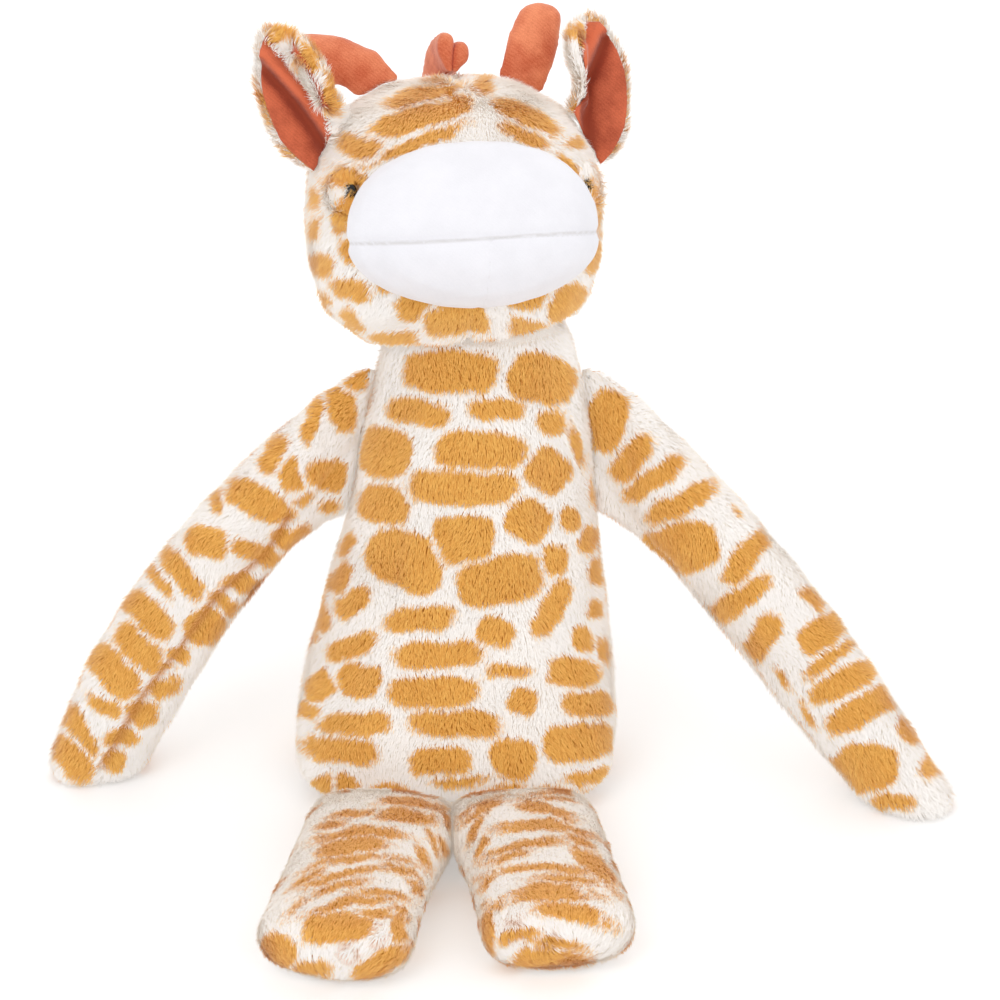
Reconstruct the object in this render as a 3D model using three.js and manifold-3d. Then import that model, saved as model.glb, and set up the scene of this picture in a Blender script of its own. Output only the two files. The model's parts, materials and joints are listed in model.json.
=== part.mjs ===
// Plush giraffe dog toy, seated with its hands on the floor, in millimetres. +Z is up and the toy faces -Y.
// Left and right are the toy's own: its left is at +X. The origin is the middle of its flat seat.
// Every stuffed form is sewn from panels of pile fabric round a core of fibre fill. A limb is pinched to a
// flat root where it is sewn on, and turns about that seam.
import * as THREE from "three";
import Module from "manifold-3d";
import { mergeVertices } from "three/addons/utils/BufferGeometryUtils.js";

const wasm = await Module();
wasm.setup();

// Fabric and seams
const FUR_CLOTH = 5; // pile fabric with its lying pile
const SHORT_CLOTH = 2.2; // smooth short velour
const GAP = 0.3; // between pieces that touch
const SEAM_EDGE = 1.9; // half the thickness of a limb's pinched root
const SEAM_SINK = 1.6; // how far inside its neighbour a limb is drawn, before its root is cut to that shape
const ROOT_SEAM = 13; // sewn edge of an arm or leg, where it holds no fill
const TRIM_SEAM = 6; // the same on a horn
const FLOOR_FLAT = 0.5; // how deep a form is pressed flat where it stands
const SWING_STEP = 15; // degrees between the places where room is cut for what a limb swings past
const FAR = 1000; // FAR the whole toy, for blocks that cut

// Torso
const NECK_HEIGHT = 212; // floor to the middle of the neck
const NECK_BACK = 46; // how far the neck sits behind the seat
const NECK_ASIDE = 12; // and to the toy's left, as it slumps
const NECK_HALF_WIDTH = 46;
const NECK_RADIUS = 28; // of the round top that the head turns on
const SHOULDER_HALF_WIDTH = 52;
const CHEST_HALF_WIDTH = 60;
const BELLY_HALF_WIDTH = 70;
const HIP_HALF_WIDTH = 78.5;
const SEAT_HALF_WIDTH = 76.5;
const SHOULDER_HALF_DEPTH = 34;
const CHEST_HALF_DEPTH = 39;
const BELLY_HALF_DEPTH = 44;
const HIP_HALF_DEPTH = 47;
const SEAT_HALF_DEPTH = 44;
const SEAT_ROUNDING = 17;
const SIDE_SEAM_LOW = 60; // height where the side seams start to run forward to the seat's front edge

// Head: half sizes from its middle, and how it is turned on the neck
const HEAD_HALF_WIDTH = 70;
const HEAD_HALF_DEPTH = 58;
const HEAD_UP = 61;
const HEAD_DOWN = 67;
const HEAD_ABOVE_NECK = 63;
const HEAD_ASIDE = -11.5;
const HEAD_TILT = 22; // degrees back
const HEAD_TURN = 11; // degrees to the toy's left
const HEAD_LEAN = 1.5; // degrees to the toy's right
const NECK_GAP = 0.8; // between the round neck and the head's hollow, so that its facets pass
const NOD_DOWN = 30; // degrees from how it rests
const NOD_BACK = 8;

// Muzzle, in front of the head's middle
const MUZZLE_HALF_WIDTH = 55;
const MUZZLE_ROOT_HALF_WIDTH = 47;
const MUZZLE_UP = 43; // seam to the top
const MUZZLE_DOWN = 30; // seam to the bottom
const MUZZLE_ROOT_UP = 36;
const MUZZLE_ROOT_DOWN = 25;
const MUZZLE_SEAM_DROP = 14; // seam below the head's middle
const MUZZLE_ROOT = 26; // inside the face, where the form starts
const MUZZLE_WIDEST = 52;
const MUZZLE_FRONT = 88;
const MUZZLE_ROUNDING = 35;

// Eyes
const EYE_RADIUS = 4.6;
const EYE_DOME = 3.2;
const SHANK_RADIUS = 1.6;
const EYE_HEIGHT = 7; // above the head's middle
const EYE_ANGLE = 41; // degrees round from the side towards the front
const WASHER_RADIUS = 7;
const WASHER_THICKNESS = 1.2;
const WASHER_SINK = 2.6; // the flat washer bears on the curved cloth at its rim
const SHANK_END = 1.5; // past the washer

// Ears: a leaf folded lengthwise, with its inner part standing forward
const EAR_LENGTH = 55;
const EAR_ROOT_HALF_WIDTH = 14;
const EAR_HALF_WIDTH = 20; // of the leaf laid flat
const EAR_FUR_CLOTH = 4;
const EAR_FOLD = 72; // degrees
const EAR_FOLD_RADIUS = 4;
const EAR_FLAP = 0.6; // share of its half width that stands forward
const EAR_HEIGHT = 30; // of its seam above the head's middle
const EAR_ANGLE = 16; // of its seam round from the side towards the front
const RIGHT_EAR_LEAN = 22; // degrees outward from the head's upright
const LEFT_EAR_LEAN = 1;
const EAR_FORWARD = 25; // degrees of swing
const EAR_BACK = 15;

// Horns
const HORN_LENGTH = 41;
const HORN_ROOT_HALF_WIDTH = 11.5;
const HORN_HALF_WIDTH = 11;
const HORN_TIP_HALF_WIDTH = 8.5;
const HORN_HALF_DEPTH = 6;
const HORN_HEIGHT = 55.5; // of its seam above the head's middle
const HORN_ANGLE = -4; // of its seam round from the side towards the front
const RIGHT_HORN_LEAN = 68; // degrees outward from the head's upright
const LEFT_HORN_LEAN = 12;
const RIGHT_HORN_BACK = 16; // how far its tip hangs behind its root, clear of the ear
const LEFT_HORN_BACK = 2;
const HORN_FORWARD = 12; // degrees of swing
const HORN_BACK = 20;

// Mane
const MANE_HEIGHT = 15;
const MANE_CREST = 19; // of the tuft at its front end
const MANE_FRONT_ANGLE = 8; // degrees in front of the crown
const MANE_BACK_ANGLE = -108;

// Arms
const RIGHT_ARM_REACH = 218; // straight from the seam to the hand's flat end, as each arm bends
const LEFT_ARM_REACH = 238;
const ARM_ROOT_HALF_WIDTH = 36;
const ARM_UPPER_HALF_WIDTH = 30.5;
const ARM_HALF_WIDTH = 26;
const HAND_HALF_WIDTH = 24.5;
const ARM_HALF_DEPTH = 18;
const HAND_HALF_DEPTH = 16.5;
const HAND_ROUNDING = 11;
const ARM_SEAM_HEIGHT = 168; // middle of the sewn root
const ARM_LEAVE = 75; // how far the arm keeps to its slope at the seam
const ARM_ARRIVE = 58; // and to its slope at the hand
const ARM_DROOP = 40; // degrees below level where it leaves the seam
const RIGHT_HAND_SLOPE = 72; // degrees below level
const LEFT_HAND_SLOPE = 50;
const RIGHT_ARM_FORWARD = 16; // degrees in plan
const LEFT_ARM_FORWARD = 23;
const ARM_SWING = 35; // degrees each way

// Legs
const RIGHT_LEG_REACH = 127; // from its seam to the toe's middle, as each leg bunches up
const LEFT_LEG_REACH = 119;
const LEG_ROOT_HALF_WIDTH = 30;
const LEG_HALF_WIDTH = 32.5;
const FOOT_HALF_WIDTH = 36;
const LEG_HALF_DEPTH = 20;
const FOOT_HALF_DEPTH = 18;
const FOOT_ROUNDING = 17;
const LEG_ANGLE = 15.5; // of the root's middle round the seat from the front, in degrees
const LEG_SEAM_HEIGHT = 9;
const LEG_LEAVE = 20; // how far the leg's middle keeps to its slope at the seam
const LEG_RISE = 12; // and how far it climbs over that
const LEG_ARRIVE = 40; // how far it lies level behind the toe
const RIGHT_LEG_SPLAY = 9.5; // degrees outward
const LEFT_LEG_SPLAY = 9;
const LEG_UP = 25; // degrees of swing
const LEG_DOWN = 80;

// Squeaker: a flat hollow bulb with a reed in its front
const SQUEAKER_RADIUS = 24;
const SQUEAKER_THICKNESS = 19;
const SQUEAKER_WALL = 1.4;
const SQUEAKER_HEIGHT = 92; // of its middle above the seat
const REED_RADIUS = 5;
const REED_BORE = 1.6;
const REED_LENGTH = 11;
const REED_FLANGE = 2.5;

// Facets
const BODY_SIDES = 28;
const HEAD_SIDES = 24;
const LIMB_SIDES = 14;
const LIMB_FILL_SIDES = 10;
const HORN_SIDES = 10;
const HORN_FILL_SIDES = 6;
const ROUND_STEPS = 4;

const X = new THREE.Vector3(1, 0, 0);
const Y = new THREE.Vector3(0, 1, 0);
const Z = new THREE.Vector3(0, 0, 1);
const FORWARD = new THREE.Vector3(0, -1, 0);
const TURN = 2 * Math.PI;
const rad = THREE.MathUtils.degToRad;

const fur = new THREE.MeshStandardMaterial({ color: 0xe3c391, roughness: 0.95 });
const velour = new THREE.MeshStandardMaterial({ color: 0xc2562f, roughness: 0.85 });
const whiteVelour = new THREE.MeshStandardMaterial({ color: 0xf2f0ee, roughness: 0.85 });
const fibreFill = new THREE.MeshStandardMaterial({ color: 0xf7f6f2, roughness: 1 });
const eyePlastic = new THREE.MeshStandardMaterial({ color: 0x080808, roughness: 0.08 });
const washerPlastic = new THREE.MeshStandardMaterial({ color: 0xd8d8d4, roughness: 0.4 });
const squeakerPlastic = new THREE.MeshStandardMaterial({ color: 0xe9e4d6, roughness: 0.5 });

// Solids: a closed geometry becomes a manifold, is cut, and comes back as a geometry
function toSolid(geometry) {
  const bare = geometry.clone();
  bare.deleteAttribute("normal");
  bare.deleteAttribute("uv");
  const merged = mergeVertices(bare, 1e-4);
  return new wasm.Manifold(new wasm.Mesh({
    numProp: 3,
    vertProperties: Float32Array.from(merged.attributes.position.array),
    triVerts: Uint32Array.from(merged.index.array),
  }));
}

function toGeometry(solid) {
  const mesh = solid.getMesh();
  const geometry = new THREE.BufferGeometry();
  geometry.setAttribute("position", new THREE.BufferAttribute(Float32Array.from(mesh.vertProperties), 3));
  geometry.setIndex(new THREE.BufferAttribute(Uint32Array.from(mesh.triVerts), 1));
  geometry.computeVertexNormals();
  return geometry;
}

// Cuts one solid with others. What a cut leaves loose is offcut, and the largest body is the piece.
function cut(solid, ...cutters) {
  const rest = cutters.reduce((left, cutter) => left.subtract(cutter), solid);
  return rest.decompose().reduce((best, body) => (body.volume() > best.volume() ? body : best));
}

// A closed skin over rings of points, with one point closing each end. Each facet pair folds on its shorter
// diagonal, so that two skins that lie close together fold alike.
function loft(rings, firstPoint, lastPoint) {
  const sides = rings[0].length;
  const points = [...rings.flat(), firstPoint, lastPoint];
  const first = points.length - 2;
  const last = points.length - 1;
  const faces = [];
  for (let side = 0; side < sides; side++) {
    const next = (side + 1) % sides;
    faces.push(first, side, next);
    for (let ring = 0; ring + 1 < rings.length; ring++) {
      const a = ring * sides;
      const b = a + sides;
      const [p, q, r, s] = [a + side, a + next, b + next, b + side];
      const onward = points[p].distanceTo(points[r]) < points[q].distanceTo(points[s]);
      faces.push(...(onward ? [p, r, q, p, s, r] : [p, s, q, q, s, r]));
    }
    const end = (rings.length - 1) * sides;
    faces.push(last, end + next, end + side);
  }
  const geometry = new THREE.BufferGeometry();
  geometry.setAttribute("position", new THREE.Float32BufferAttribute(points.flatMap((p) => p.toArray()), 3));
  geometry.setIndex(faces);
  return geometry;
}

// A stuffed form: a rounded outline that swells and tapers along a spine. Its sections lie square to a
// direction that turns evenly from `along` at the start to `along` at the end, and so does the way its front
// faces. Each station has the share of the spine where it is, the outline's half width, its half depth to the
// front and to the back, and how square it is (2 is an ellipse). The ends round off over startRound and
// endRound, more bluntly with a higher bluntness.
class StuffedForm {
  constructor({ spine, along, front, stations, startRound, endRound, startBlunt = 2.4, endBlunt = 2.4 }) {
    Object.assign(this, { spine, along, front, stations, startRound, endRound, startBlunt, endBlunt });
    this.length = spine.getLength();
  }

  // Sizes between stations follow a smooth curve through them
  sizeAt(share) {
    const s = this.stations;
    const i = Math.max(0, Math.min(s.length - 2, s.findLastIndex((station) => station.at <= share)));
    const span = s[i + 1].at - s[i].at;
    const x = THREE.MathUtils.clamp((share - s[i].at) / span, 0, 1);
    const value = (key) => {
      const slope = (k) => {
        const before = s[Math.max(k - 1, 0)];
        const after = s[Math.min(k + 1, s.length - 1)];
        return ((after[key] - before[key]) / (after.at - before.at)) * span;
      };
      const [p, q, m, n] = [s[i][key], s[i + 1][key], slope(i), slope(i + 1)];
      return p + x * (m + x * (3 * q - 3 * p - 2 * m - n + x * (2 * p - 2 * q + m + n)));
    };
    return { width: value("width"), fore: value("fore"), aft: value("aft"), square: value("square") };
  }

  frameAt(share) {
    const t = THREE.MathUtils.clamp(share, 0, 1);
    const along = this.along[0].clone().lerp(this.along[1], t).normalize();
    const front = this.front[0].clone().lerp(this.front[1], t);
    const across = new THREE.Vector3().crossVectors(along, front).normalize();
    return { middle: this.spine.getPointAt(t), across, front: across.clone().cross(along) };
  }

  // An inner layer rounds off under the outer one's end, or over its own depth where it starts past a root
  rounds(inset, skip) {
    const startRound = skip > inset ? Math.max(skip - inset, 2) : Math.max(this.startRound - inset, 1);
    return { startRound, endRound: Math.max(this.endRound - inset, 1) };
  }

  // A point of the skin, or of a layer `inset` under it that starts `skip` from the root.
  // Angle 0 is across the form, and a quarter turn is its front.
  point(share, angle, { inset = 0, skip = inset } = {}) {
    const drawnIn = (distance, round, blunt) => {
      const reach = 1 - THREE.MathUtils.clamp(distance / round, 0, 1);
      return (1 - reach ** blunt) ** (1 / blunt);
    };
    const { middle, across, front } = this.frameAt(share);
    const size = this.sizeAt(share);
    const { startRound, endRound } = this.rounds(inset, skip);
    const start = drawnIn(share * this.length - skip, startRound, this.startBlunt);
    const scale = start * drawnIn((1 - share) * this.length - inset, endRound, this.endBlunt);
    const [c, s] = [Math.cos(angle), Math.sin(angle)];
    const depth = s > 0 ? size.fore : size.aft;
    const u = Math.sign(c) * Math.abs(c) ** (2 / size.square) * Math.max(size.width - inset, 0.5) * scale;
    const v = Math.sign(s) * Math.abs(s) ** (2 / size.square) * Math.max(depth - inset, 0.5) * scale;
    return middle.addScaledVector(across, u).addScaledVector(front, v);
  }

  // Shares of the spine where rings are drawn: close together where an end rounds off
  shares(inset, skip, steps) {
    const { startRound, endRound } = this.rounds(inset, skip);
    const body = this.length - skip - inset - startRound - endRound;
    const list = [];
    for (let i = 1; i < ROUND_STEPS; i++) {
      list.push(startRound * (1 - Math.cos((i * Math.PI) / 2 / ROUND_STEPS)));
    }
    for (let i = 0; i <= steps; i++) {
      list.push(startRound + (body * i) / steps);
    }
    for (let i = ROUND_STEPS - 1; i > 0; i--) {
      list.push(startRound + body + endRound * Math.cos((i * Math.PI) / 2 / ROUND_STEPS));
    }
    list.sort((a, b) => a - b);
    const rising = list.filter((distance, i) => i === 0 || distance - list[i - 1] > 1e-6);
    return rising.map((distance) => (distance + skip) / this.length);
  }

  // The closed form, or its part between two angles, held back from its cut faces by half a gap
  geometry({ inset = 0, skip = inset, steps = 8, sides = LIMB_SIDES, from = 0, to = TURN } = {}) {
    const whole = to - from > TURN - 1e-6;
    const corner = to - from < Math.PI - 1e-6;
    const points = whole ? sides : Math.round((sides * (to - from)) / TURN) + 1;
    const held = (share, p) => {
      if (whole) return p;
      const { middle, across, front } = this.frameAt(share);
      const offset = p.clone().sub(middle);
      for (const turn of [from + Math.PI / 2, to - Math.PI / 2]) {
        const normal = across.clone().multiplyScalar(Math.cos(turn)).addScaledVector(front, Math.sin(turn));
        offset.addScaledVector(normal, Math.max(GAP / 2 - offset.dot(normal), 0));
      }
      return middle.add(offset);
    };
    const ring = (share) => {
      const list = [];
      for (let i = 0; i < points; i++) {
        const angle = from + ((to - from) * i) / (whole ? points : points - 1);
        list.push(held(share, this.point(share, angle, { inset, skip })));
      }
      if (corner) list.push(held(share, this.spine.getPointAt(share)));
      return list;
    };
    const [start, end] = [skip / this.length, 1 - inset / this.length].map((place) => {
      const share = THREE.MathUtils.clamp(place, 0, 1);
      return held(share, this.spine.getPointAt(share));
    });
    return loft(this.shares(inset, skip, steps).map(ring), start, end);
  }

  solid(options) {
    return toSolid(this.geometry(options));
  }

  // Where a limb is sewn on: the middle of its seam, the way out, the way along the seam, which runs up the
  // form or round it, and the middle of the limb's pinched edge, where it turns
  seam(share, angle, way) {
    const step = 0.01;
    const up = this.point(share + step, angle).sub(this.point(share - step, angle)).normalize();
    const round = this.point(share, angle + step).sub(this.point(share, angle - step)).normalize();
    const out = new THREE.Vector3().crossVectors(up, round).normalize();
    const skin = this.point(share, angle);
    const start = skin.clone().addScaledVector(out, -SEAM_SINK);
    const hinge = skin.clone().addScaledVector(out, SEAM_EDGE);
    return { axis: way === "up" ? up : round, out, skin, start, hinge };
  }
}

// A limb's spine leaves its seam along one way and arrives at its end along another
function limbSpine(start, leave, arrive, end) {
  return new THREE.CubicBezierCurve3(start, start.clone().add(leave), end.clone().sub(arrive), end);
}

function turnAbout(point, axis, degrees) {
  const there = new THREE.Matrix4().makeTranslation(point.x, point.y, point.z);
  const back = new THREE.Matrix4().makeTranslation(-point.x, -point.y, -point.z);
  return there.multiply(new THREE.Matrix4().makeRotationAxis(axis, rad(degrees))).multiply(back);
}

// Copies of what a limb is sewn to, as the limb meets it at rest and on its way to both ends of its swing
function roomToTurn(solid, point, axis, low, high) {
  const places = [0];
  for (const end of [low, high]) {
    const steps = Math.ceil(Math.abs(end) / SWING_STEP);
    for (let i = 1; i <= steps; i++) {
      places.push((end * i) / steps);
    }
  }
  return places.map((degrees) => solid.transform(turnAbout(point, axis, -degrees).elements));
}

const part = new THREE.Group();

function addPiece(group, name, solid, material) {
  const mesh = new THREE.Mesh(toGeometry(solid), material);
  mesh.name = name;
  group.add(mesh);
}

const floorBlock = toSolid(new THREE.BoxGeometry(FAR, FAR, FAR).translate(0, 0, -FAR / 2));

// Torso: its spine leans back from the seat and stands upright at the neck
class SlumpLine extends THREE.Curve {
  getPoint(t, target = new THREE.Vector3()) {
    const height = -FLOOR_FLAT + t * (NECK_HEIGHT + NECK_RADIUS + FLOOR_FLAT);
    const lean = 1 - (1 - THREE.MathUtils.clamp(height / NECK_HEIGHT, 0, 1)) ** 2;
    return target.set(NECK_ASIDE * lean ** 2, NECK_BACK * lean, height);
  }
}

const slumpLine = new SlumpLine();

// The share of the torso's spine that lies below a height
function shareBelow(height) {
  let [low, high] = [0, 1];
  for (let i = 0; i < 30; i++) {
    const share = (low + high) / 2;
    if (slumpLine.getPointAt(share).z < height) low = share;
    else high = share;
  }
  return low;
}

function torsoStation(height, width, depth, square) {
  return { at: shareBelow(height), width, fore: depth, aft: depth, square };
}

const torso = new StuffedForm({
  spine: slumpLine,
  along: [Z, Z],
  front: [FORWARD, FORWARD],
  stations: [
    torsoStation(0, SEAT_HALF_WIDTH, SEAT_HALF_DEPTH, 3.2),
    torsoStation(0.15 * NECK_HEIGHT, HIP_HALF_WIDTH, HIP_HALF_DEPTH, 2.9),
    torsoStation(0.38 * NECK_HEIGHT, BELLY_HALF_WIDTH, BELLY_HALF_DEPTH, 2.5),
    torsoStation(0.62 * NECK_HEIGHT, CHEST_HALF_WIDTH, CHEST_HALF_DEPTH, 2.3),
    torsoStation(0.88 * NECK_HEIGHT, SHOULDER_HALF_WIDTH, SHOULDER_HALF_DEPTH, 2.1),
    torsoStation(NECK_HEIGHT, NECK_HALF_WIDTH, NECK_RADIUS, 2),
    torsoStation(NECK_HEIGHT + NECK_RADIUS, NECK_HALF_WIDTH, NECK_RADIUS, 2),
  ],
  startRound: SEAT_ROUNDING,
  endRound: NECK_RADIUS,
  startBlunt: 2.6,
  endBlunt: 2,
});

const torsoFacets = { steps: 10, sides: BODY_SIDES };
const torsoFillFacets = { steps: 7, sides: 20 };
const torsoBulk = torso.solid({ inset: -GAP, ...torsoFacets });
const squeakerMiddle = slumpLine.getPointAt(shareBelow(SQUEAKER_HEIGHT));

// The side seams run down the torso's middle and then forward, under the belly, to the edge with the legs
function frontOfSideSeams(shift) {
  const edgeHeight = LEG_SEAM_HEIGHT - shift;
  const turn = slumpLine.getPointAt(shareBelow(SIDE_SEAM_LOW));
  const outline = new THREE.Shape();
  outline.moveTo(-FAR, edgeHeight);
  outline.lineTo(-SEAT_HALF_DEPTH + shift, edgeHeight);
  outline.quadraticCurveTo(turn.y + shift, edgeHeight, turn.y + shift, turn.z - shift);
  for (let i = 1; i <= 6; i++) {
    const height = SIDE_SEAM_LOW + ((NECK_HEIGHT - SIDE_SEAM_LOW) * i) / 6;
    outline.lineTo(slumpLine.getPointAt(shareBelow(height)).y + shift, height - shift);
  }
  outline.lineTo(NECK_BACK + shift, FAR);
  outline.lineTo(-FAR, FAR);
  const block = new THREE.ExtrudeGeometry(outline, { depth: FAR, bevelEnabled: false, curveSegments: 5 });
  block.translate(0, 0, -FAR / 2);
  return toSolid(block.applyMatrix4(new THREE.Matrix4().makeBasis(Y, Z, X)));
}

// A turned part on the squeaker's axis, which points out of the belly
function onSqueakerAxis(geometry) {
  return toSolid(geometry.rotateX(Math.PI / 2).translate(...squeakerMiddle.toArray()));
}

function buildTorso() {
  const outer = torso.solid(torsoFacets).subtract(floorBlock);
  const skin = outer.subtract(torso.solid({ inset: FUR_CLOTH, ...torsoFillFacets }));
  addPiece(part, "torso_front_panel", cut(skin.intersect(frontOfSideSeams(0))), fur);
  addPiece(part, "torso_back_panel", cut(skin, frontOfSideSeams(GAP)), fur);

  const fill = torso.solid({ inset: FUR_CLOTH + GAP, ...torsoFillFacets });
  const half = SQUEAKER_THICKNESS / 2 + GAP;
  const deep = 2 * HIP_HALF_DEPTH;
  const bulbRoom = new THREE.CylinderGeometry(SQUEAKER_RADIUS + GAP, SQUEAKER_RADIUS + GAP, deep, 24);
  bulbRoom.translate(0, half - deep / 2, 0);
  const reedRadius = REED_RADIUS + REED_FLANGE + GAP;
  const reedRoom = new THREE.CylinderGeometry(reedRadius, reedRadius, REED_LENGTH, 16);
  reedRoom.translate(0, half, 0);
  addPiece(part, "torso_stuffing", cut(fill, onSqueakerAxis(bulbRoom), onSqueakerAxis(reedRoom)), fibreFill);
}

function buildSqueaker() {
  const half = SQUEAKER_THICKNESS / 2;
  const inner = half - SQUEAKER_WALL;
  const hole = REED_RADIUS + GAP;
  const profile = [[0, -half]];
  const addArc = (radius, reach, from, to) => {
    for (let i = 0; i <= 6; i++) {
      const angle = rad(from + ((to - from) * i) / 6);
      profile.push([radius - reach + reach * Math.cos(angle), reach * Math.sin(angle)]);
    }
  };
  addArc(SQUEAKER_RADIUS, half, -90, 90);
  profile.push([hole, half], [hole, inner]);
  addArc(SQUEAKER_RADIUS - SQUEAKER_WALL, inner, 90, -90);
  profile.push([0, -inner]);
  const bulb = new THREE.LatheGeometry(profile.map(([x, y]) => new THREE.Vector2(x, y)), 24);
  addPiece(part, "squeaker_bulb", onSqueakerAxis(bulb), squeakerPlastic);

  const seat = half + GAP;
  const rim = seat + 1.5;
  const low = rim - REED_LENGTH;
  const flange = REED_RADIUS + REED_FLANGE;
  const ring = [[REED_BORE, low], [REED_RADIUS, low], [REED_RADIUS, seat], [flange, seat]];
  ring.push([flange, rim], [REED_BORE, rim], [REED_BORE, low]);
  const reed = new THREE.LatheGeometry(ring.map(([x, y]) => new THREE.Vector2(x, y)), 16);
  addPiece(part, "squeaker_reed", onSqueakerAxis(reed), squeakerPlastic);
}

// A limb has two panels, split along its spine, round a core of fill
function addLimb(group, name, form, panelNames, { wall, skip, facets, fillFacets, cutters, cloth }) {
  const inner = form.solid({ inset: wall, skip, ...fillFacets });
  const halves = [[0, Math.PI], [Math.PI, TURN]];
  halves.forEach(([from, to], i) => {
    const half = form.solid({ ...facets, from, to });
    addPiece(group, `${name}_${panelNames[i]}`, cut(half, inner, ...cutters), cloth);
  });
  const fill = form.solid({ inset: wall + GAP, skip: skip + GAP, ...fillFacets });
  addPiece(group, `${name}_stuffing`, cut(fill, ...cutters), fibreFill);
}

function limbStation(at, width, depth, square = 2.3) {
  return { at, width, fore: depth, aft: depth, square };
}

// Arms: sewn into the side seams, arched out and down, with the hand's flat end on the floor
function buildArm(name, side, armReach, forward, handSlope) {
  const angle = side > 0 ? 0 : Math.PI;
  const seam = torso.seam(shareBelow(ARM_SEAM_HEIGHT), angle, "up");
  const drop = seam.start.z + FLOOR_FLAT;
  const reach = Math.sqrt(Math.max(armReach ** 2 - drop ** 2, 0));
  const plan = new THREE.Vector3(side * Math.cos(rad(forward)), -Math.sin(rad(forward)), 0);
  const hand = seam.start.clone().addScaledVector(plan, reach).setZ(-FLOOR_FLAT);
  const down = Z.clone().negate();
  const leave = seam.out.clone().addScaledVector(down, Math.tan(rad(ARM_DROOP))).setLength(ARM_LEAVE);
  const arrive = plan.clone().addScaledVector(down, Math.tan(rad(handSlope))).setLength(ARM_ARRIVE);
  const form = new StuffedForm({
    spine: limbSpine(seam.start, leave, arrive, hand),
    along: [seam.out, down],
    front: [seam.axis.clone().cross(seam.out), Z.clone().cross(plan)].map((way) => way.multiplyScalar(-side)),
    stations: [
      limbStation(0, ARM_ROOT_HALF_WIDTH, SEAM_EDGE),
      limbStation(0.07, ARM_ROOT_HALF_WIDTH, 0.6 * ARM_HALF_DEPTH),
      limbStation(0.2, ARM_UPPER_HALF_WIDTH, ARM_HALF_DEPTH),
      limbStation(0.45, ARM_HALF_WIDTH, ARM_HALF_DEPTH),
      limbStation(0.85, ARM_HALF_WIDTH, HAND_HALF_DEPTH),
      limbStation(1, HAND_HALF_WIDTH, HAND_HALF_DEPTH),
    ],
    startRound: SEAM_EDGE,
    endRound: HAND_ROUNDING,
    endBlunt: 2.8,
  });
  addLimb(part, name, form, ["front_panel", "back_panel"], {
    wall: FUR_CLOTH,
    skip: ROOT_SEAM,
    facets: { steps: 8, sides: LIMB_SIDES },
    fillFacets: { steps: 6, sides: LIMB_FILL_SIDES },
    cutters: [floorBlock, ...roomToTurn(torsoBulk, seam.hinge, seam.axis, -ARM_SWING, ARM_SWING)],
    cloth: fur,
  });
}

// Legs: sewn into the seat's front edge, lying forward on the floor, flaring to a blunt foot
function buildLeg(name, side, legReach, splay) {
  const angle = Math.PI / 2 - side * rad(LEG_ANGLE);
  const seam = torso.seam(shareBelow(LEG_SEAM_HEIGHT), angle, "round");
  seam.out.setZ(0).normalize();
  seam.axis.setZ(0).normalize();
  const way = new THREE.Vector3(side * Math.sin(rad(splay)), -Math.cos(rad(splay)), 0);
  const height = FOOT_HALF_DEPTH - FLOOR_FLAT;
  const toe = seam.start.clone().addScaledVector(way, legReach).setZ(height);
  const leave = seam.out.clone().multiplyScalar(LEG_LEAVE).setZ(LEG_RISE);
  const form = new StuffedForm({
    spine: limbSpine(seam.start, leave, way.clone().multiplyScalar(LEG_ARRIVE), toe),
    along: [seam.out, way],
    front: [Z, Z],
    stations: [
      limbStation(0, LEG_ROOT_HALF_WIDTH, SEAM_EDGE, 2.6),
      limbStation(0.08, LEG_ROOT_HALF_WIDTH, 0.6 * LEG_HALF_DEPTH, 2.6),
      limbStation(0.22, LEG_HALF_WIDTH, LEG_HALF_DEPTH, 2.6),
      limbStation(0.6, LEG_HALF_WIDTH, LEG_HALF_DEPTH, 2.6),
      limbStation(0.92, FOOT_HALF_WIDTH, FOOT_HALF_DEPTH, 2.6),
      limbStation(1, FOOT_HALF_WIDTH, FOOT_HALF_DEPTH, 2.6),
    ],
    startRound: SEAM_EDGE,
    endRound: FOOT_ROUNDING,
  });
  addLimb(part, name, form, ["top_panel", "bottom_panel"], {
    wall: FUR_CLOTH,
    skip: ROOT_SEAM,
    facets: { steps: 6, sides: LIMB_SIDES },
    fillFacets: { steps: 4, sides: LIMB_FILL_SIDES },
    cutters: [floorBlock, ...roomToTurn(torsoBulk, seam.hinge, seam.axis, -LEG_DOWN, LEG_UP)],
    cloth: fur,
  });
}

// Head: made round its own middle with +Z to the crown, then set on the neck
const headPose = new THREE.Euler(rad(-HEAD_TILT), rad(-HEAD_LEAN), rad(HEAD_TURN), "XZY");
const neckPivot = slumpLine.getPointAt(shareBelow(NECK_HEIGHT));
const headMiddle = Z.clone().applyEuler(headPose).multiplyScalar(HEAD_ABOVE_NECK).add(neckPivot);
headMiddle.x = neckPivot.x + HEAD_ASIDE;
const headGroup = new THREE.Group();
headGroup.rotation.copy(headPose);
headGroup.position.copy(headMiddle);
headGroup.updateMatrixWorld(true);
const toHead = headGroup.matrixWorld.clone().invert();

const headStations = [];
for (const at of [0, 0.5, 1]) {
  const depth = HEAD_HALF_DEPTH;
  headStations.push({ at, width: HEAD_HALF_WIDTH, fore: depth, aft: depth, square: 2.15 });
}
const head = new StuffedForm({
  spine: new THREE.LineCurve3(new THREE.Vector3(0, 0, -HEAD_DOWN), new THREE.Vector3(0, 0, HEAD_UP)),
  along: [Z, Z],
  front: [FORWARD, FORWARD],
  stations: headStations,
  startRound: HEAD_DOWN,
  endRound: HEAD_UP,
  startBlunt: 3,
  endBlunt: 2.25,
});
const headFacets = { steps: 1, sides: HEAD_SIDES };
const headFillFacets = { steps: 1, sides: 18 };
const headBulk = head.solid({ inset: -GAP, ...headFacets });

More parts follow.
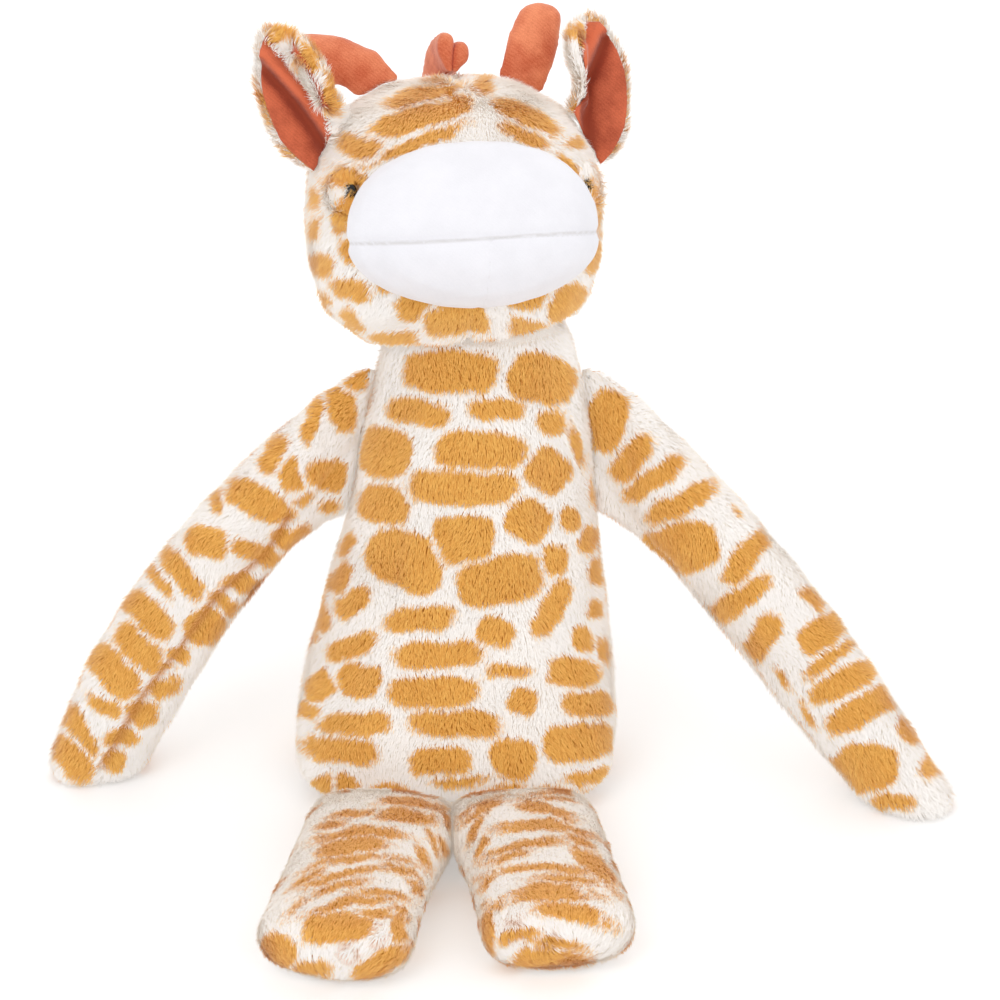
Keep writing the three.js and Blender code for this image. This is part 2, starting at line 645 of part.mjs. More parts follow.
function headShare(height) {
  return (height + HEAD_DOWN) / (HEAD_UP + HEAD_DOWN);
}

// The neck's round top, and the torso as the head meets it from nodding back to nodding down
function neckRoom() {
  const ball = new THREE.SphereGeometry(1, 36, 20).rotateZ(Math.PI / 2);
  ball.scale(NECK_HALF_WIDTH + NECK_GAP, NECK_RADIUS + NECK_GAP, NECK_RADIUS + NECK_GAP);
  const neck = toSolid(ball.translate(...neckPivot.toArray()));
  const room = [neck, ...roomToTurn(torsoBulk, neckPivot, X, -NOD_BACK, NOD_DOWN)];
  return room.map((solid) => solid.transform(toHead.elements));
}

// Eyes: a dome on a shank that a washer holds behind the cloth. Their axis stands on the face.
function eyeFrame(side) {
  const angle = side > 0 ? rad(EYE_ANGLE) : Math.PI - rad(EYE_ANGLE);
  const { out, skin } = head.seam(headShare(EYE_HEIGHT), angle, "up");
  const turn = new THREE.Quaternion().setFromUnitVectors(Y, out);
  return new THREE.Matrix4().compose(skin, turn, new THREE.Vector3(1, 1, 1));
}

const washerTop = -(FUR_CLOTH + WASHER_SINK);
const washerLow = washerTop - WASHER_THICKNESS;
const shankLow = washerLow - SHANK_END;

function rod(radius, low, high, sides) {
  return new THREE.CylinderGeometry(radius, radius, high - low, sides).translate(0, (low + high) / 2, 0);
}

function buildEye(name, side) {
  const frame = eyeFrame(side);
  const profile = [[0, shankLow], [SHANK_RADIUS, shankLow], [SHANK_RADIUS, GAP], [EYE_RADIUS, GAP]];
  for (let i = 1; i <= 5; i++) {
    const angle = (i * Math.PI) / 10;
    profile.push([i < 5 ? EYE_RADIUS * Math.cos(angle) : 0, 0.8 + EYE_DOME * Math.sin(angle)]);
  }
  const eye = new THREE.LatheGeometry(profile.map(([x, y]) => new THREE.Vector2(x, y)), 16);
  addPiece(headGroup, `eye_${name}`, toSolid(eye.applyMatrix4(frame)), eyePlastic);
  const bore = SHANK_RADIUS + GAP;
  const ring = [[bore, washerLow], [WASHER_RADIUS, washerLow], [WASHER_RADIUS, washerTop], [bore, washerTop]];
  ring.push(ring[0]);
  const washer = new THREE.LatheGeometry(ring.map(([x, y]) => new THREE.Vector2(x, y)), 16);
  addPiece(headGroup, `eye_washer_${name}`, toSolid(washer.applyMatrix4(frame)), washerPlastic);
}

function buildHead() {
  const room = neckRoom();
  const inner = head.solid({ inset: FUR_CLOTH, ...headFillFacets });
  const atEyes = (radius) => {
    const hole = rod(radius, shankLow - GAP, EYE_RADIUS, 16);
    return [1, -1].map((side) => toSolid(hole.clone().applyMatrix4(eyeFrame(side))));
  };
  const holes = atEyes(SHANK_RADIUS + GAP);
  const quarter = Math.PI / 2;
  const left = head.solid({ ...headFacets, from: -quarter, to: quarter });
  const right = head.solid({ ...headFacets, from: quarter, to: 3 * quarter });
  addPiece(headGroup, "head_left_panel", cut(left, inner, ...room, ...holes), fur);
  addPiece(headGroup, "head_right_panel", cut(right, inner, ...room, ...holes), fur);
  const fill = head.solid({ inset: FUR_CLOTH + GAP, ...headFillFacets });
  addPiece(headGroup, "head_stuffing", cut(fill, ...room, ...atEyes(WASHER_RADIUS + GAP)), fibreFill);
}

// Muzzle: one panel over the seam that runs round it, and two under it that meet at the chin
function buildMuzzle() {
  const length = MUZZLE_FRONT - MUZZLE_ROOT;
  const station = (at, width, fore, aft) => ({ at, width, fore, aft, square: 2.3 });
  const muzzle = new StuffedForm({
    spine: new THREE.LineCurve3(
      new THREE.Vector3(0, -MUZZLE_ROOT, -MUZZLE_SEAM_DROP),
      new THREE.Vector3(0, -MUZZLE_FRONT, -MUZZLE_SEAM_DROP),
    ),
    along: [FORWARD, FORWARD],
    front: [Z, Z],
    stations: [
      station(0, MUZZLE_ROOT_HALF_WIDTH, MUZZLE_ROOT_UP, MUZZLE_ROOT_DOWN),
      station((MUZZLE_WIDEST - MUZZLE_ROOT) / length, MUZZLE_HALF_WIDTH, MUZZLE_UP, MUZZLE_DOWN),
      station(1, MUZZLE_HALF_WIDTH, MUZZLE_UP, MUZZLE_DOWN),
    ],
    startRound: 3,
    endRound: MUZZLE_ROUNDING,
    endBlunt: 2.3,
  });
  const facets = { steps: 3, sides: 24 };
  const fillFacets = { steps: 3, sides: 16 };
  const inner = muzzle.solid({ inset: SHORT_CLOTH, ...fillFacets });
  const panels = [
    ["muzzle_upper_panel", 0, Math.PI],
    ["muzzle_lower_left_panel", 1.5 * Math.PI, TURN],
    ["muzzle_lower_right_panel", Math.PI, 1.5 * Math.PI],
  ];
  for (const [name, from, to] of panels) {
    addPiece(headGroup, name, cut(muzzle.solid({ ...facets, from, to }), inner, headBulk), whiteVelour);
  }
  const fill = muzzle.solid({ inset: SHORT_CLOTH + GAP, ...fillFacets });
  addPiece(headGroup, "muzzle_stuffing", cut(fill, headBulk), fibreFill);
}

// Across an ear, from its outer edge: flat, round the fold, and on forward. Each place has its offsets across
// the ear and to its front, and how far it has turned.
function leafSection(half, fold) {
  const flap = EAR_FLAP * half;
  const flat = 2 * half - flap - fold * EAR_FOLD_RADIUS;
  const bend = (flat - flap) / 2;
  const places = [[bend - flat, 0, 0], [bend - flat / 2, 0, 0]];
  const steps = 4;
  for (let i = 0; i <= steps; i++) {
    const turn = (fold * i) / steps;
    const spread = ((1 - fold / rad(EAR_FOLD)) * i) / steps;
    const u = bend + EAR_FOLD_RADIUS * Math.sin(turn) + spread;
    places.push([u, EAR_FOLD_RADIUS * (1 - Math.cos(turn)), turn]);
  }
  const [u, v, turn] = places[places.length - 1];
  for (const reach of [flap / 2, flap]) {
    places.push([u + reach * Math.cos(turn), v + reach * Math.sin(turn), turn]);
  }
  return places;
}

// Ears: velour lining and pile back lie on each other, folded together between root and tip
function buildEar(name, side, lean) {
  const angle = side > 0 ? rad(EAR_ANGLE) : Math.PI - rad(EAR_ANGLE);
  const seam = head.seam(headShare(EAR_HEIGHT), angle, "up");
  const up = new THREE.Vector3(side * Math.sin(rad(lean)), 0, Math.cos(rad(lean)));
  const tip = seam.start.clone().addScaledVector(up, EAR_LENGTH);
  const bend = 0.25 * EAR_LENGTH;
  const leave = seam.out.clone().multiplyScalar(bend);
  const spine = limbSpine(seam.start, leave, up.clone().multiplyScalar(bend), tip);
  const layer = (inner, outer) => {
    const rings = [];
    const steps = 9;
    for (let i = 0; i <= steps; i++) {
      const share = i / steps;
      const widened = THREE.MathUtils.smoothstep(share, 0, 0.35);
      const rounded = Math.sqrt(Math.max(1 - THREE.MathUtils.smoothstep(share, 0.3, 1.04) ** 2, 0));
      const half = THREE.MathUtils.lerp(EAR_ROOT_HALF_WIDTH, EAR_HALF_WIDTH, widened) * rounded;
      const flattened = THREE.MathUtils.smoothstep(share, 0.75, 1);
      const faded = THREE.MathUtils.smoothstep(share, 0, 0.2) * (1 - flattened);
      const along = seam.out.clone().lerp(up, share);
      const across = along.cross(FORWARD).normalize().multiplyScalar(-side);
      const place = ([u, v, turn], offset) => {
        const p = spine.getPointAt(share).addScaledVector(across, u - offset * Math.sin(turn));
        return p.addScaledVector(FORWARD, v + offset * Math.cos(turn));
      };
      const section = leafSection(half, rad(EAR_FOLD) * faded);
      const ring = section.map((p) => place(p, outer));
      ring.push(...section.toReversed().map((p) => place(p, inner)));
      rings.push(side > 0 ? ring : ring.toReversed());
    }
    const sum = (ring) => ring.reduce((total, p) => total.add(p), new THREE.Vector3());
    const middle = (ring) => sum(ring).divideScalar(ring.length);
    return toSolid(loft(rings, middle(rings[0]), middle(rings[steps])));
  };
  const [low, high] = side > 0 ? [-EAR_FORWARD, EAR_BACK] : [-EAR_BACK, EAR_FORWARD];
  const room = roomToTurn(headBulk, seam.hinge, seam.axis, low, high);
  const half = GAP / 2;
  addPiece(headGroup, `${name}_lining`, cut(layer(half, half + SHORT_CLOTH), ...room), velour);
  addPiece(headGroup, `${name}_back`, cut(layer(-half - EAR_FUR_CLOTH, -half), ...room), fur);
}

// Horns: soft stubby tubes, the right one drooping outward behind its ear
function buildHorn(name, side, lean, back) {
  const angle = side > 0 ? rad(HORN_ANGLE) : Math.PI - rad(HORN_ANGLE);
  const seam = head.seam(headShare(HORN_HEIGHT), angle, "up");
  const tip = new THREE.Vector3(side * Math.sin(rad(lean)), 0, Math.cos(rad(lean)));
  tip.multiplyScalar(HORN_LENGTH).add(seam.start).setY(seam.start.y + back);
  const arrive = tip.clone().sub(seam.start).normalize();
  const leave = seam.out.clone().multiplyScalar(0.45 * HORN_LENGTH);
  const form = new StuffedForm({
    spine: limbSpine(seam.start, leave, arrive.clone().multiplyScalar(0.3 * HORN_LENGTH), tip),
    along: [seam.out, arrive],
    front: [FORWARD, FORWARD],
    stations: [
      limbStation(0, HORN_ROOT_HALF_WIDTH, SEAM_EDGE),
      limbStation(0.18, HORN_ROOT_HALF_WIDTH, 0.9 * HORN_HALF_DEPTH),
      limbStation(0.6, HORN_HALF_WIDTH, HORN_HALF_DEPTH),
      limbStation(1, HORN_TIP_HALF_WIDTH, HORN_HALF_DEPTH),
    ],
    startRound: SEAM_EDGE,
    endRound: 7,
  });
  const [low, high] = side > 0 ? [-HORN_FORWARD, HORN_BACK] : [-HORN_BACK, HORN_FORWARD];
  addLimb(headGroup, name, form, ["front_panel", "back_panel"], {
    wall: SHORT_CLOTH,
    skip: TRIM_SEAM,
    facets: { steps: 3, sides: HORN_SIDES },
    fillFacets: { steps: 2, sides: HORN_FILL_SIDES },
    cutters: roomToTurn(headBulk, seam.hinge, seam.axis, low, high),
    cloth: velour,
  });
}

// Mane: two layers of velour, stitched together along their edge, from the crown down the back of the head
function buildMane() {
  const steps = 14;
  const low = [];
  const high = [];
  for (let i = 0; i <= steps; i++) {
    const turn = rad(THREE.MathUtils.lerp(MANE_FRONT_ANGLE, MANE_BACK_ANGLE, i / steps));
    const way = new THREE.Vector3(0, -Math.sin(turn), Math.cos(turn));
    const reach = profileReach(turn);
    const crest = THREE.MathUtils.lerp(MANE_CREST, MANE_HEIGHT, THREE.MathUtils.smoothstep(i, 1, 4));
    const height = crest * Math.sqrt(Math.max(1 - ((i - 1) / steps) ** 4, 0.05));
    low.push(way.clone().multiplyScalar(reach + 2 * GAP));
    high.push(way.clone().multiplyScalar(reach + 2 * GAP + height));
  }
  const outline = new THREE.Shape([...low, ...high.toReversed()].map((p) => new THREE.Vector2(p.y, p.z)));
  for (const [name, side] of [["left", 1], ["right", -1]]) {
    const plate = new THREE.ExtrudeGeometry(outline, { depth: SHORT_CLOTH, bevelEnabled: false });
    plate.translate(0, 0, side > 0 ? GAP / 2 : -GAP / 2 - SHORT_CLOTH);
    plate.applyMatrix4(new THREE.Matrix4().makeBasis(Y, Z, X));
    addPiece(headGroup, `mane_${name}_panel`, cut(toSolid(plate), headBulk), velour);
  }
}

// How far the head's middle outline is from its middle, in a direction turned forward from the crown
function profileReach(turn) {
  let [low, high] = [0, 1];
  const side = Math.sin(turn) >= 0 ? Math.PI / 2 : -Math.PI / 2;
  for (let i = 0; i < 30; i++) {
    const share = (low + high) / 2;
    const p = head.point(share, side);
    if (Math.abs(Math.atan2(p.y, p.z)) > Math.abs(turn)) low = share;
    else high = share;
  }
  return head.point(low, side).length();
}

buildTorso();
buildSqueaker();
buildArm("arm_left", 1, LEFT_ARM_REACH, LEFT_ARM_FORWARD, LEFT_HAND_SLOPE);
buildArm("arm_right", -1, RIGHT_ARM_REACH, RIGHT_ARM_FORWARD, RIGHT_HAND_SLOPE);
buildLeg("leg_left", 1, LEFT_LEG_REACH, LEFT_LEG_SPLAY);
buildLeg("leg_right", -1, RIGHT_LEG_REACH, RIGHT_LEG_SPLAY);
buildHead();
buildMuzzle();
buildEye("left", 1);
buildEye("right", -1);
buildEar("ear_left", 1, LEFT_EAR_LEAN);
buildEar("ear_right", -1, RIGHT_EAR_LEAN);
buildHorn("horn_left", 1, LEFT_HORN_LEAN, LEFT_HORN_BACK);
buildHorn("horn_right", -1, RIGHT_HORN_LEAN, RIGHT_HORN_BACK);
buildMane();
part.add(headGroup);

export default part;
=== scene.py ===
# %% [markdown]
# # A plush giraffe dog toy
# A soft body, head, arms and legs of printed pile fabric, a smooth stuffed muzzle, and velour trim.
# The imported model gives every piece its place. This lesson turns its panels into stuffed skins, prints them,
# grows the pile, and dresses the trim.

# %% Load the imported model
import json
import math

import bmesh
import bpy
import numpy as np
from mathutils import Matrix, Vector
from mathutils.bvhtree import BVHTree


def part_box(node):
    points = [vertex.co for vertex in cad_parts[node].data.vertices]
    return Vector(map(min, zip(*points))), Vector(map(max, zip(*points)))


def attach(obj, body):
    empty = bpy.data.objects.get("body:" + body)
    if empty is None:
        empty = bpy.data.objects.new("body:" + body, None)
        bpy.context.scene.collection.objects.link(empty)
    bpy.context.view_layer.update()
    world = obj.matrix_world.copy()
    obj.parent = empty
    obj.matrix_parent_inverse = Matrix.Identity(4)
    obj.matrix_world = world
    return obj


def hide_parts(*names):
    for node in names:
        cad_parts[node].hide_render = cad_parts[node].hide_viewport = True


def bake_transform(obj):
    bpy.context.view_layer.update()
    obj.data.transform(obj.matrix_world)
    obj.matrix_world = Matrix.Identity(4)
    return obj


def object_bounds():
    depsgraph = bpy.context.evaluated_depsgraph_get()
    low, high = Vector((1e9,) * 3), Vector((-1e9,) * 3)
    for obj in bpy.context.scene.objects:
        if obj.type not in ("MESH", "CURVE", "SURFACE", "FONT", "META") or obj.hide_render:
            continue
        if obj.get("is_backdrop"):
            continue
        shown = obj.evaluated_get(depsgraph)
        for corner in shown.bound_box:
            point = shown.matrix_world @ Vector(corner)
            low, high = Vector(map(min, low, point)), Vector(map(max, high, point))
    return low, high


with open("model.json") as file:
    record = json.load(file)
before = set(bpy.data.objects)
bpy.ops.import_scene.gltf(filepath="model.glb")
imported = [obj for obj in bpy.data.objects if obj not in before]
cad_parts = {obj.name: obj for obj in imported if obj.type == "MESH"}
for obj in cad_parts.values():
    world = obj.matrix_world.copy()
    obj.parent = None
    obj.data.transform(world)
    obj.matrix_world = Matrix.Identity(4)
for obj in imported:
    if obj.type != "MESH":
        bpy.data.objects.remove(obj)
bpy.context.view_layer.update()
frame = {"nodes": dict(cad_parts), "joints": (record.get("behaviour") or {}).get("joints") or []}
scene = bpy.context.scene

# %% [markdown]
# ## Camera
# The photograph looks down about 28 degrees from the front. A long lens keeps the limbs in proportion.

# %% Camera
camera = bpy.data.objects.new("camera", bpy.data.cameras.new("camera"))
scene.collection.objects.link(camera)
camera.data.lens = 100
camera.data.sensor_width = 36
camera.location = (0.022, -1.129, 0.7536)
VIEW_DOWN = math.radians(28)
camera.rotation_euler = (math.radians(90) - VIEW_DOWN, 0, 0)
scene.camera = camera
TOWARD_CAMERA = np.array([0, -math.cos(VIEW_DOWN), math.sin(VIEW_DOWN)])
UP_THE_PHOTO = np.array([0, math.sin(VIEW_DOWN), math.cos(VIEW_DOWN)])
PHOTO_SIDE = 1000  # pixels
FOCUS = PHOTO_SIDE * camera.data.lens / camera.data.sensor_width
MM_PER_PIXEL = 0.46  # at the toy


def in_photo(points):
    """Where points show in the photograph, in its pixels from the left and from the top."""
    away = points - np.array(camera.location)
    scale = FOCUS / (away @ -TOWARD_CAMERA)
    return PHOTO_SIDE / 2 + scale * away[:, 0], PHOTO_SIDE / 2 - scale * (away @ UP_THE_PHOTO)


print("camera looks from", tuple(round(x, 3) for x in camera.location))

# %% [markdown]
# ## Small helpers
# Meshes are worked on as arrays of points, in metres, because each skin has thousands of them. A finished
# mesh is read back from the evaluated object, so that no modifier stays on a piece.


# %% Helpers for meshes
def points_of(obj, kind="co"):
    flat = np.empty(len(obj.data.vertices) * 3, np.float32)
    obj.data.vertices.foreach_get(kind, flat)
    return flat.reshape(-1, 3).astype(float)


def normals_of(obj):
    return points_of(obj, "normal")


def move_points(obj, points):
    obj.data.vertices.foreach_set("co", points.astype(np.float32).ravel())
    obj.data.update()


def new_object(name, mesh):
    obj = bpy.data.objects.new(name, mesh)
    scene.collection.objects.link(obj)
    return obj


def modify(obj, kind, **settings):
    modifier = obj.modifiers.new(kind.lower(), kind)
    for key, value in settings.items():
        setattr(modifier, key, value)
    return modifier


def keep_result(obj):
    """The evaluated mesh becomes the object's own, and its modifiers go."""
    mesh = bpy.data.meshes.new_from_object(obj.evaluated_get(bpy.context.evaluated_depsgraph_get()))
    obj.modifiers.clear()
    obj.data = mesh
    mesh.name = obj.name


def mesh_from(bm, name):
    mesh = bpy.data.meshes.new(name)
    bm.to_mesh(mesh)
    bm.free()
    return mesh


def even_copy(name, nodes, voxel, smooth):
    """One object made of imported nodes, with one even surface."""
    bm = bmesh.new()
    for node in nodes:
        bm.from_mesh(frame["nodes"][node].data)
    bmesh.ops.remove_doubles(bm, verts=bm.verts, dist=1e-6)
    obj = new_object(name, mesh_from(bm, name))
    modify(obj, "REMESH", mode="VOXEL", voxel_size=voxel)
    modify(obj, "SMOOTH", iterations=smooth)
    keep_result(obj)
    return obj


def tree_of(obj):
    return BVHTree.FromPolygons([v.co for v in obj.data.vertices], [p.vertices for p in obj.data.polygons])


def set_attribute(obj, name, values):
    kind = "FLOAT_VECTOR" if np.ndim(values) == 2 else "FLOAT"
    attribute = obj.data.attributes.new(name, kind, "POINT")
    key = "vector" if kind == "FLOAT_VECTOR" else "value"
    attribute.data.foreach_set(key, np.asarray(values, np.float32).ravel())


def smooth_step(value, low, high):
    t = np.clip((value - low) / (high - low), 0, 1)
    return t * t * (3 - 2 * t)


def unit(vectors):
    return vectors / np.maximum(np.linalg.norm(vectors, axis=-1, keepdims=True), 1e-9)


def wander(points, size, seed):
    """A smooth field from about -1 to 1 that changes over `size`, made of a few waves."""
    rng = np.random.default_rng(seed)
    ways = unit(rng.normal(size=(7, 3))) * (math.tau / (size * rng.uniform(0.7, 1.6, (7, 1))))
    return np.sin(points @ ways.T + rng.uniform(0, math.tau, 7)).sum(1) / 3.2


def drift(points, size, seed):
    """Three such fields, as a direction."""
    return np.stack([wander(points, size, seed + k) for k in range(3)], 1)


print("helpers ready")

# %% [markdown]
# ## Stuffed skins
# A stuffed form is one taut skin, although it is sewn from panels. The panels and the fill inside them are
# joined, voxel remesh gives them one even surface, and a cloth simulation with air pressure in place of the
# stuffing rounds it out. The sewn root of a limb is held, as its stitches hold it.


# %% Make a stuffed skin
def hinge_of(body):
    """The line that a limb turns about, which is where it's sewn on: a place in metres and a direction."""
    joint = next(j for j in frame["joints"] if j["child"] == body)
    return np.array(joint["pos_m"]), unit(np.array(joint["axis"]))


def from_hinge(body, points):
    place, axis = hinge_of(body)
    return np.linalg.norm(np.cross(points - place, axis), axis=1)


CLOTH_STEPS = 20


def stuffed_skin(name, nodes, voxel, inset, cap, limb=None, pressure=4.0):
    """Joins the nodes into one skin, `inset` below their surface, that swells by `cap` at most."""
    obj = even_copy(name, nodes, voxel, 2)
    start, out = points_of(obj), normals_of(obj)
    held = 1 - smooth_step(from_hinge(limb, start), 0.004, 0.018) if limb else np.zeros(len(start))
    start = start - inset * (1 - 0.8 * held[:, None]) * out
    move_points(obj, start)
    group = obj.vertex_groups.new(name="sewn")
    for index in np.nonzero(held > 0.01)[0]:
        group.add([int(index)], float(held[index]), "REPLACE")
    cloth = obj.modifiers.new("stuffing", "CLOTH")
    cloth.settings.quality = 4
    cloth.settings.use_pressure = True
    cloth.settings.uniform_pressure_force = pressure
    cloth.settings.effector_weights.gravity = 0
    cloth.settings.vertex_group_mass = "sewn" if limb else ""
    cloth.point_cache.frame_start = 1
    cloth.point_cache.frame_end = CLOTH_STEPS
    for number in range(1, CLOTH_STEPS + 1):
        scene.frame_set(number)
    keep_result(obj)
    scene.frame_set(1)
    moved = points_of(obj) - start
    moved -= np.minimum((moved * out).sum(1, keepdims=True) + 0.0004, 0) * out
    far = np.maximum(np.linalg.norm(moved, axis=1, keepdims=True), 1e-9)
    move_points(obj, start + moved * np.minimum(1, cap / far) * (1 - held[:, None]))
    modify(obj, "SUBSURF", levels=1, render_levels=1)
    keep_result(obj)
    obj.vertex_groups.clear()
    return obj


def press(obj, distance, depth, width):
    """Presses a groove into a skin, where `distance` gives how far each point is from its line."""
    move_points(obj, points_of(obj) - normals_of(obj) * (depth * np.exp(-((distance / width) ** 2)))[:, None])


FLOOR_GAP = 0.0004


def stand_on_floor(obj):
    points = points_of(obj)
    points[:, 2] = np.maximum(points[:, 2], FLOOR_GAP)
    move_points(obj, points)


# %% [markdown]
# Each limb has a spine, the smooth curve that its pile runs along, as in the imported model. It leaves the seam
# one way and arrives at its tip another. The head leans back, turns left and tips to its right.

# %% The forms' own frames
HEAD_MIDDLE = np.array([0.5, 69.3, 270.5])
HEAD_BACK, HEAD_TURN, HEAD_TIP = (math.radians(angle) for angle in (22, 11, 1.5))
head_pose = Matrix.Rotation(-HEAD_BACK, 3, "X") @ Matrix.Rotation(HEAD_TURN, 3, "Z")
head_pose = head_pose @ Matrix.Rotation(-HEAD_TIP, 3, "Y")
HEAD_AXES = np.array(head_pose.transposed())  # the head's own left, back and up

SEAM_DEPTH = 3.5  # how far inside its hinge a spine begins, in millimetres, as all sizes here
ARM_DROOP = 40  # degrees below level where an arm leaves its seam
ARM_LEAVE, ARM_ARRIVE = 75, 58  # how far it keeps to its slope at the seam and at the hand
PRESSED_FLAT = 0.5  # how far below the floor a hand's spine ends
SEAT_DROOP = 25  # degrees below level that the seat faces where a leg is sewn on
LEG_LEAVE, LEG_RISE, LEG_ARRIVE = 20, 12, 40  # how far it leaves its seam, climbs there, and lies level
TOE_HEIGHT = 17.5
HORN_LENGTH = 41


def seam_middle(limb, out):
    return hinge_of(limb)[0] * 1000 - SEAM_DEPTH * out


def towards(side, forward, down):
    """A direction that's some degrees forward from sideways, and some below level."""
    forward, down = math.radians(forward), math.radians(down)
    level = math.cos(down)
    return np.array([side * math.cos(forward) * level, -math.sin(forward) * level, -math.sin(down)])


def arm_spine(limb, side, reach, forward, slope):
    out = side * unit(np.cross([0, 1, 0], hinge_of(limb)[1]))
    start = seam_middle(limb, out)
    hand = start + math.sqrt(reach**2 - (start[2] + PRESSED_FLAT) ** 2) * towards(side, forward, 0)
    hand[2] = -PRESSED_FLAT
    leave = ARM_LEAVE * unit(out - np.array([0, 0, math.tan(math.radians(ARM_DROOP))]))
    return start, start + leave, hand - ARM_ARRIVE * towards(side, forward, slope), hand


def leg_spine(limb, side, reach, splay):
    out, up = np.cross([0, 0, 1], hinge_of(limb)[1]), np.array([0, 0, 1])
    droop = math.radians(SEAT_DROOP)
    start = seam_middle(limb, math.cos(droop) * out - math.sin(droop) * up)
    along = towards(side, 90 - splay, 0)
    toe = start + reach * along
    toe[2] = TOE_HEIGHT
    return start, start + LEG_LEAVE * out + LEG_RISE * up, toe - LEG_ARRIVE * along, toe


def horn_spine(limb, side, lean, back):
    out = side * unit(np.cross(HEAD_AXES[1], hinge_of(limb)[1]))
    start = seam_middle(limb, out)
    lean = math.radians(lean)
    in_head_axes = np.array([side * HORN_LENGTH * math.sin(lean), back, HORN_LENGTH * math.cos(lean)])
    tip = start + in_head_axes @ HEAD_AXES
    return start, start + 0.45 * HORN_LENGTH * out, tip - 0.3 * HORN_LENGTH * unit(tip - start), tip


LEFT, RIGHT = 1, -1
SPINES = {
    "arm_left": arm_spine("arm_left", LEFT, reach=238, forward=23, slope=50),
    "arm_right": arm_spine("arm_right", RIGHT, reach=218, forward=16, slope=72),
    "leg_left": leg_spine("leg_left", LEFT, reach=119, splay=9),
    "leg_right": leg_spine("leg_right", RIGHT, reach=127, splay=9.5),
    "horn_left": horn_spine("horn_left", LEFT, lean=12, back=2),
    "horn_right": horn_spine("horn_right", RIGHT, lean=68, back=16),
}
NECK = np.array([12, 46, 212])
NECK_SIZE = np.array([46.8, 28.8, 28.8])


def in_head(points):
    """Places in the head's own frame, in millimetres."""
    return (points * 1000 - HEAD_MIDDLE) @ HEAD_AXES.T


def torso_middle(height):
    """How far back, and to the side, the torso's middle is at a height, in millimetres."""
    lean = 1 - (1 - np.clip(height / 212, 0, 1)) ** 2
    return 46 * lean, 12 * lean**2


def along_spine(name, points):
    """For each point: its share of the way along the spine, the spine's direction there, and the way out."""
    a, b, c, d = (np.array(p) / 1000 for p in SPINES[name])
    t = np.linspace(0, 1, 80)[:, None]
    line = a * (1 - t) ** 3 + 3 * b * t * (1 - t) ** 2 + 3 * c * t**2 * (1 - t) + d * t**3
    ways = unit(np.gradient(line, axis=0))
    nearest = ((points[:, None, :] - line[None]) ** 2).sum(2).argmin(1)
    return t[nearest, 0], ways[nearest], points - line[nearest]


# %% Stuff the body, head and limbs
skins = {}
for name, nodes, voxel, inset in (
    ("torso", ("torso_front_panel", "torso_back_panel"), 0.004, 0.0022),
    ("head", ("head_left_panel", "head_right_panel"), 0.004, 0.0022),
    ("muzzle", ("muzzle_upper_panel", "muzzle_lower_left_panel", "muzzle_lower_right_panel"), 0.003, -0.0006),
):
    skins[name] = stuffed_skin(f"{name}_skin", (*nodes, f"{name}_stuffing"), voxel, inset, cap=0.003)
for name, panels in {"arm": ("front", "back"), "leg": ("top", "bottom"), "horn": ("front", "back")}.items():
    for side in ("left", "right"):
        limb = f"{name}_{side}"
        nodes = [f"{limb}_{panel}_panel" for panel in panels] + [f"{limb}_stuffing"]
        if name == "horn":
            sizes = {"voxel": 0.0016, "inset": -0.0012, "cap": 0.002, "pressure": 2.0}
        else:
            sizes = {"voxel": 0.003, "inset": 0.0018, "cap": 0.003}
        skins[limb] = stuffed_skin(f"{limb}_skin", nodes, limb=limb, **sizes)
# The thighs are pressed together, and the feet are a little longer than they were cut.
for limb in ("leg_left", "leg_right"):
    points = points_of(skins[limb])
    share = along_spine(limb, points)[0]
    inner = 1 - smooth_step(np.abs(points[:, 0]), 0.014, 0.04)
    pressed = np.clip(0.0062 * (1 - smooth_step(share, 0.3, 0.85)) + 0.001, 0, np.abs(points[:, 0]) - 0.0012)
    points[:, 0] -= np.sign(points[:, 0]) * pressed * inner
    points[:, 1] -= 0.005 * smooth_step(share, 0.5, 1)
    move_points(skins[limb], points)
# The arms lie against the torso where they come close to it.
body = tree_of(skins["torso"])
for limb in ("arm_left", "arm_right"):
    points, normals = points_of(skins[limb]), normals_of(skins[limb])
    for i, point in enumerate(points):
        found, _, _, away = body.find_nearest(Vector(point), 0.012)
        if found is not None and (found - Vector(point)).dot(Vector(normals[i])) > 0.2 * away:
            close = 1 - float(smooth_step(away, 0.003, 0.011))
            points[i] += close * max(0, 1 - 0.0014 / away) * (np.array(found) - point)
    move_points(skins[limb], points)
for name, skin in skins.items():
    print(name, len(skin.data.vertices), "points")

# A soft horn never stands quite as it was cut: the left one leans out, and the right one's tip lifts.
for limb, tip in {"horn_left": (0.0045, 0, -0.003), "horn_right": (0, 0, 0.002)}.items():
    share = along_spine(limb, points_of(skins[limb]))[0]
    fuller = (0.0022 if limb == "horn_right" else 0) * smooth_step(share, 0.3, 0.6)
    moved = (share**1.5)[:, None] * np.array(tip) + fuller[:, None] * normals_of(skins[limb])
    move_points(skins[limb], points_of(skins[limb]) + moved)

# %% [markdown]
# The seams pull the skin in. On the body they run down the sides and under the belly, on the head over the
# crown, and on the muzzle there is one round it and a short one down the chin.

# %% Sew the seams in
seam = {}  # for each skin, how far each point is from its seam, in metres
place = points_of(skins["torso"]) * 1000
seam["torso"] = np.abs(place[:, 1] - torso_middle(place[:, 2])[0]) / 1000
press(skins["torso"], seam["torso"], 0.0012, 0.0035)

place = in_head(points_of(skins["head"]))
seam["head"] = np.abs(place[:, 0]) / 1000
press(skins["head"], seam["head"], 0.0009, 0.003)

# The eyes are pulled into the stuffing by their shanks, so the cheek stands up round them.
EYE_SPOTS = [np.array(sum(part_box(f"eye_{side}"), Vector()) / 2) for side in ("left", "right")]


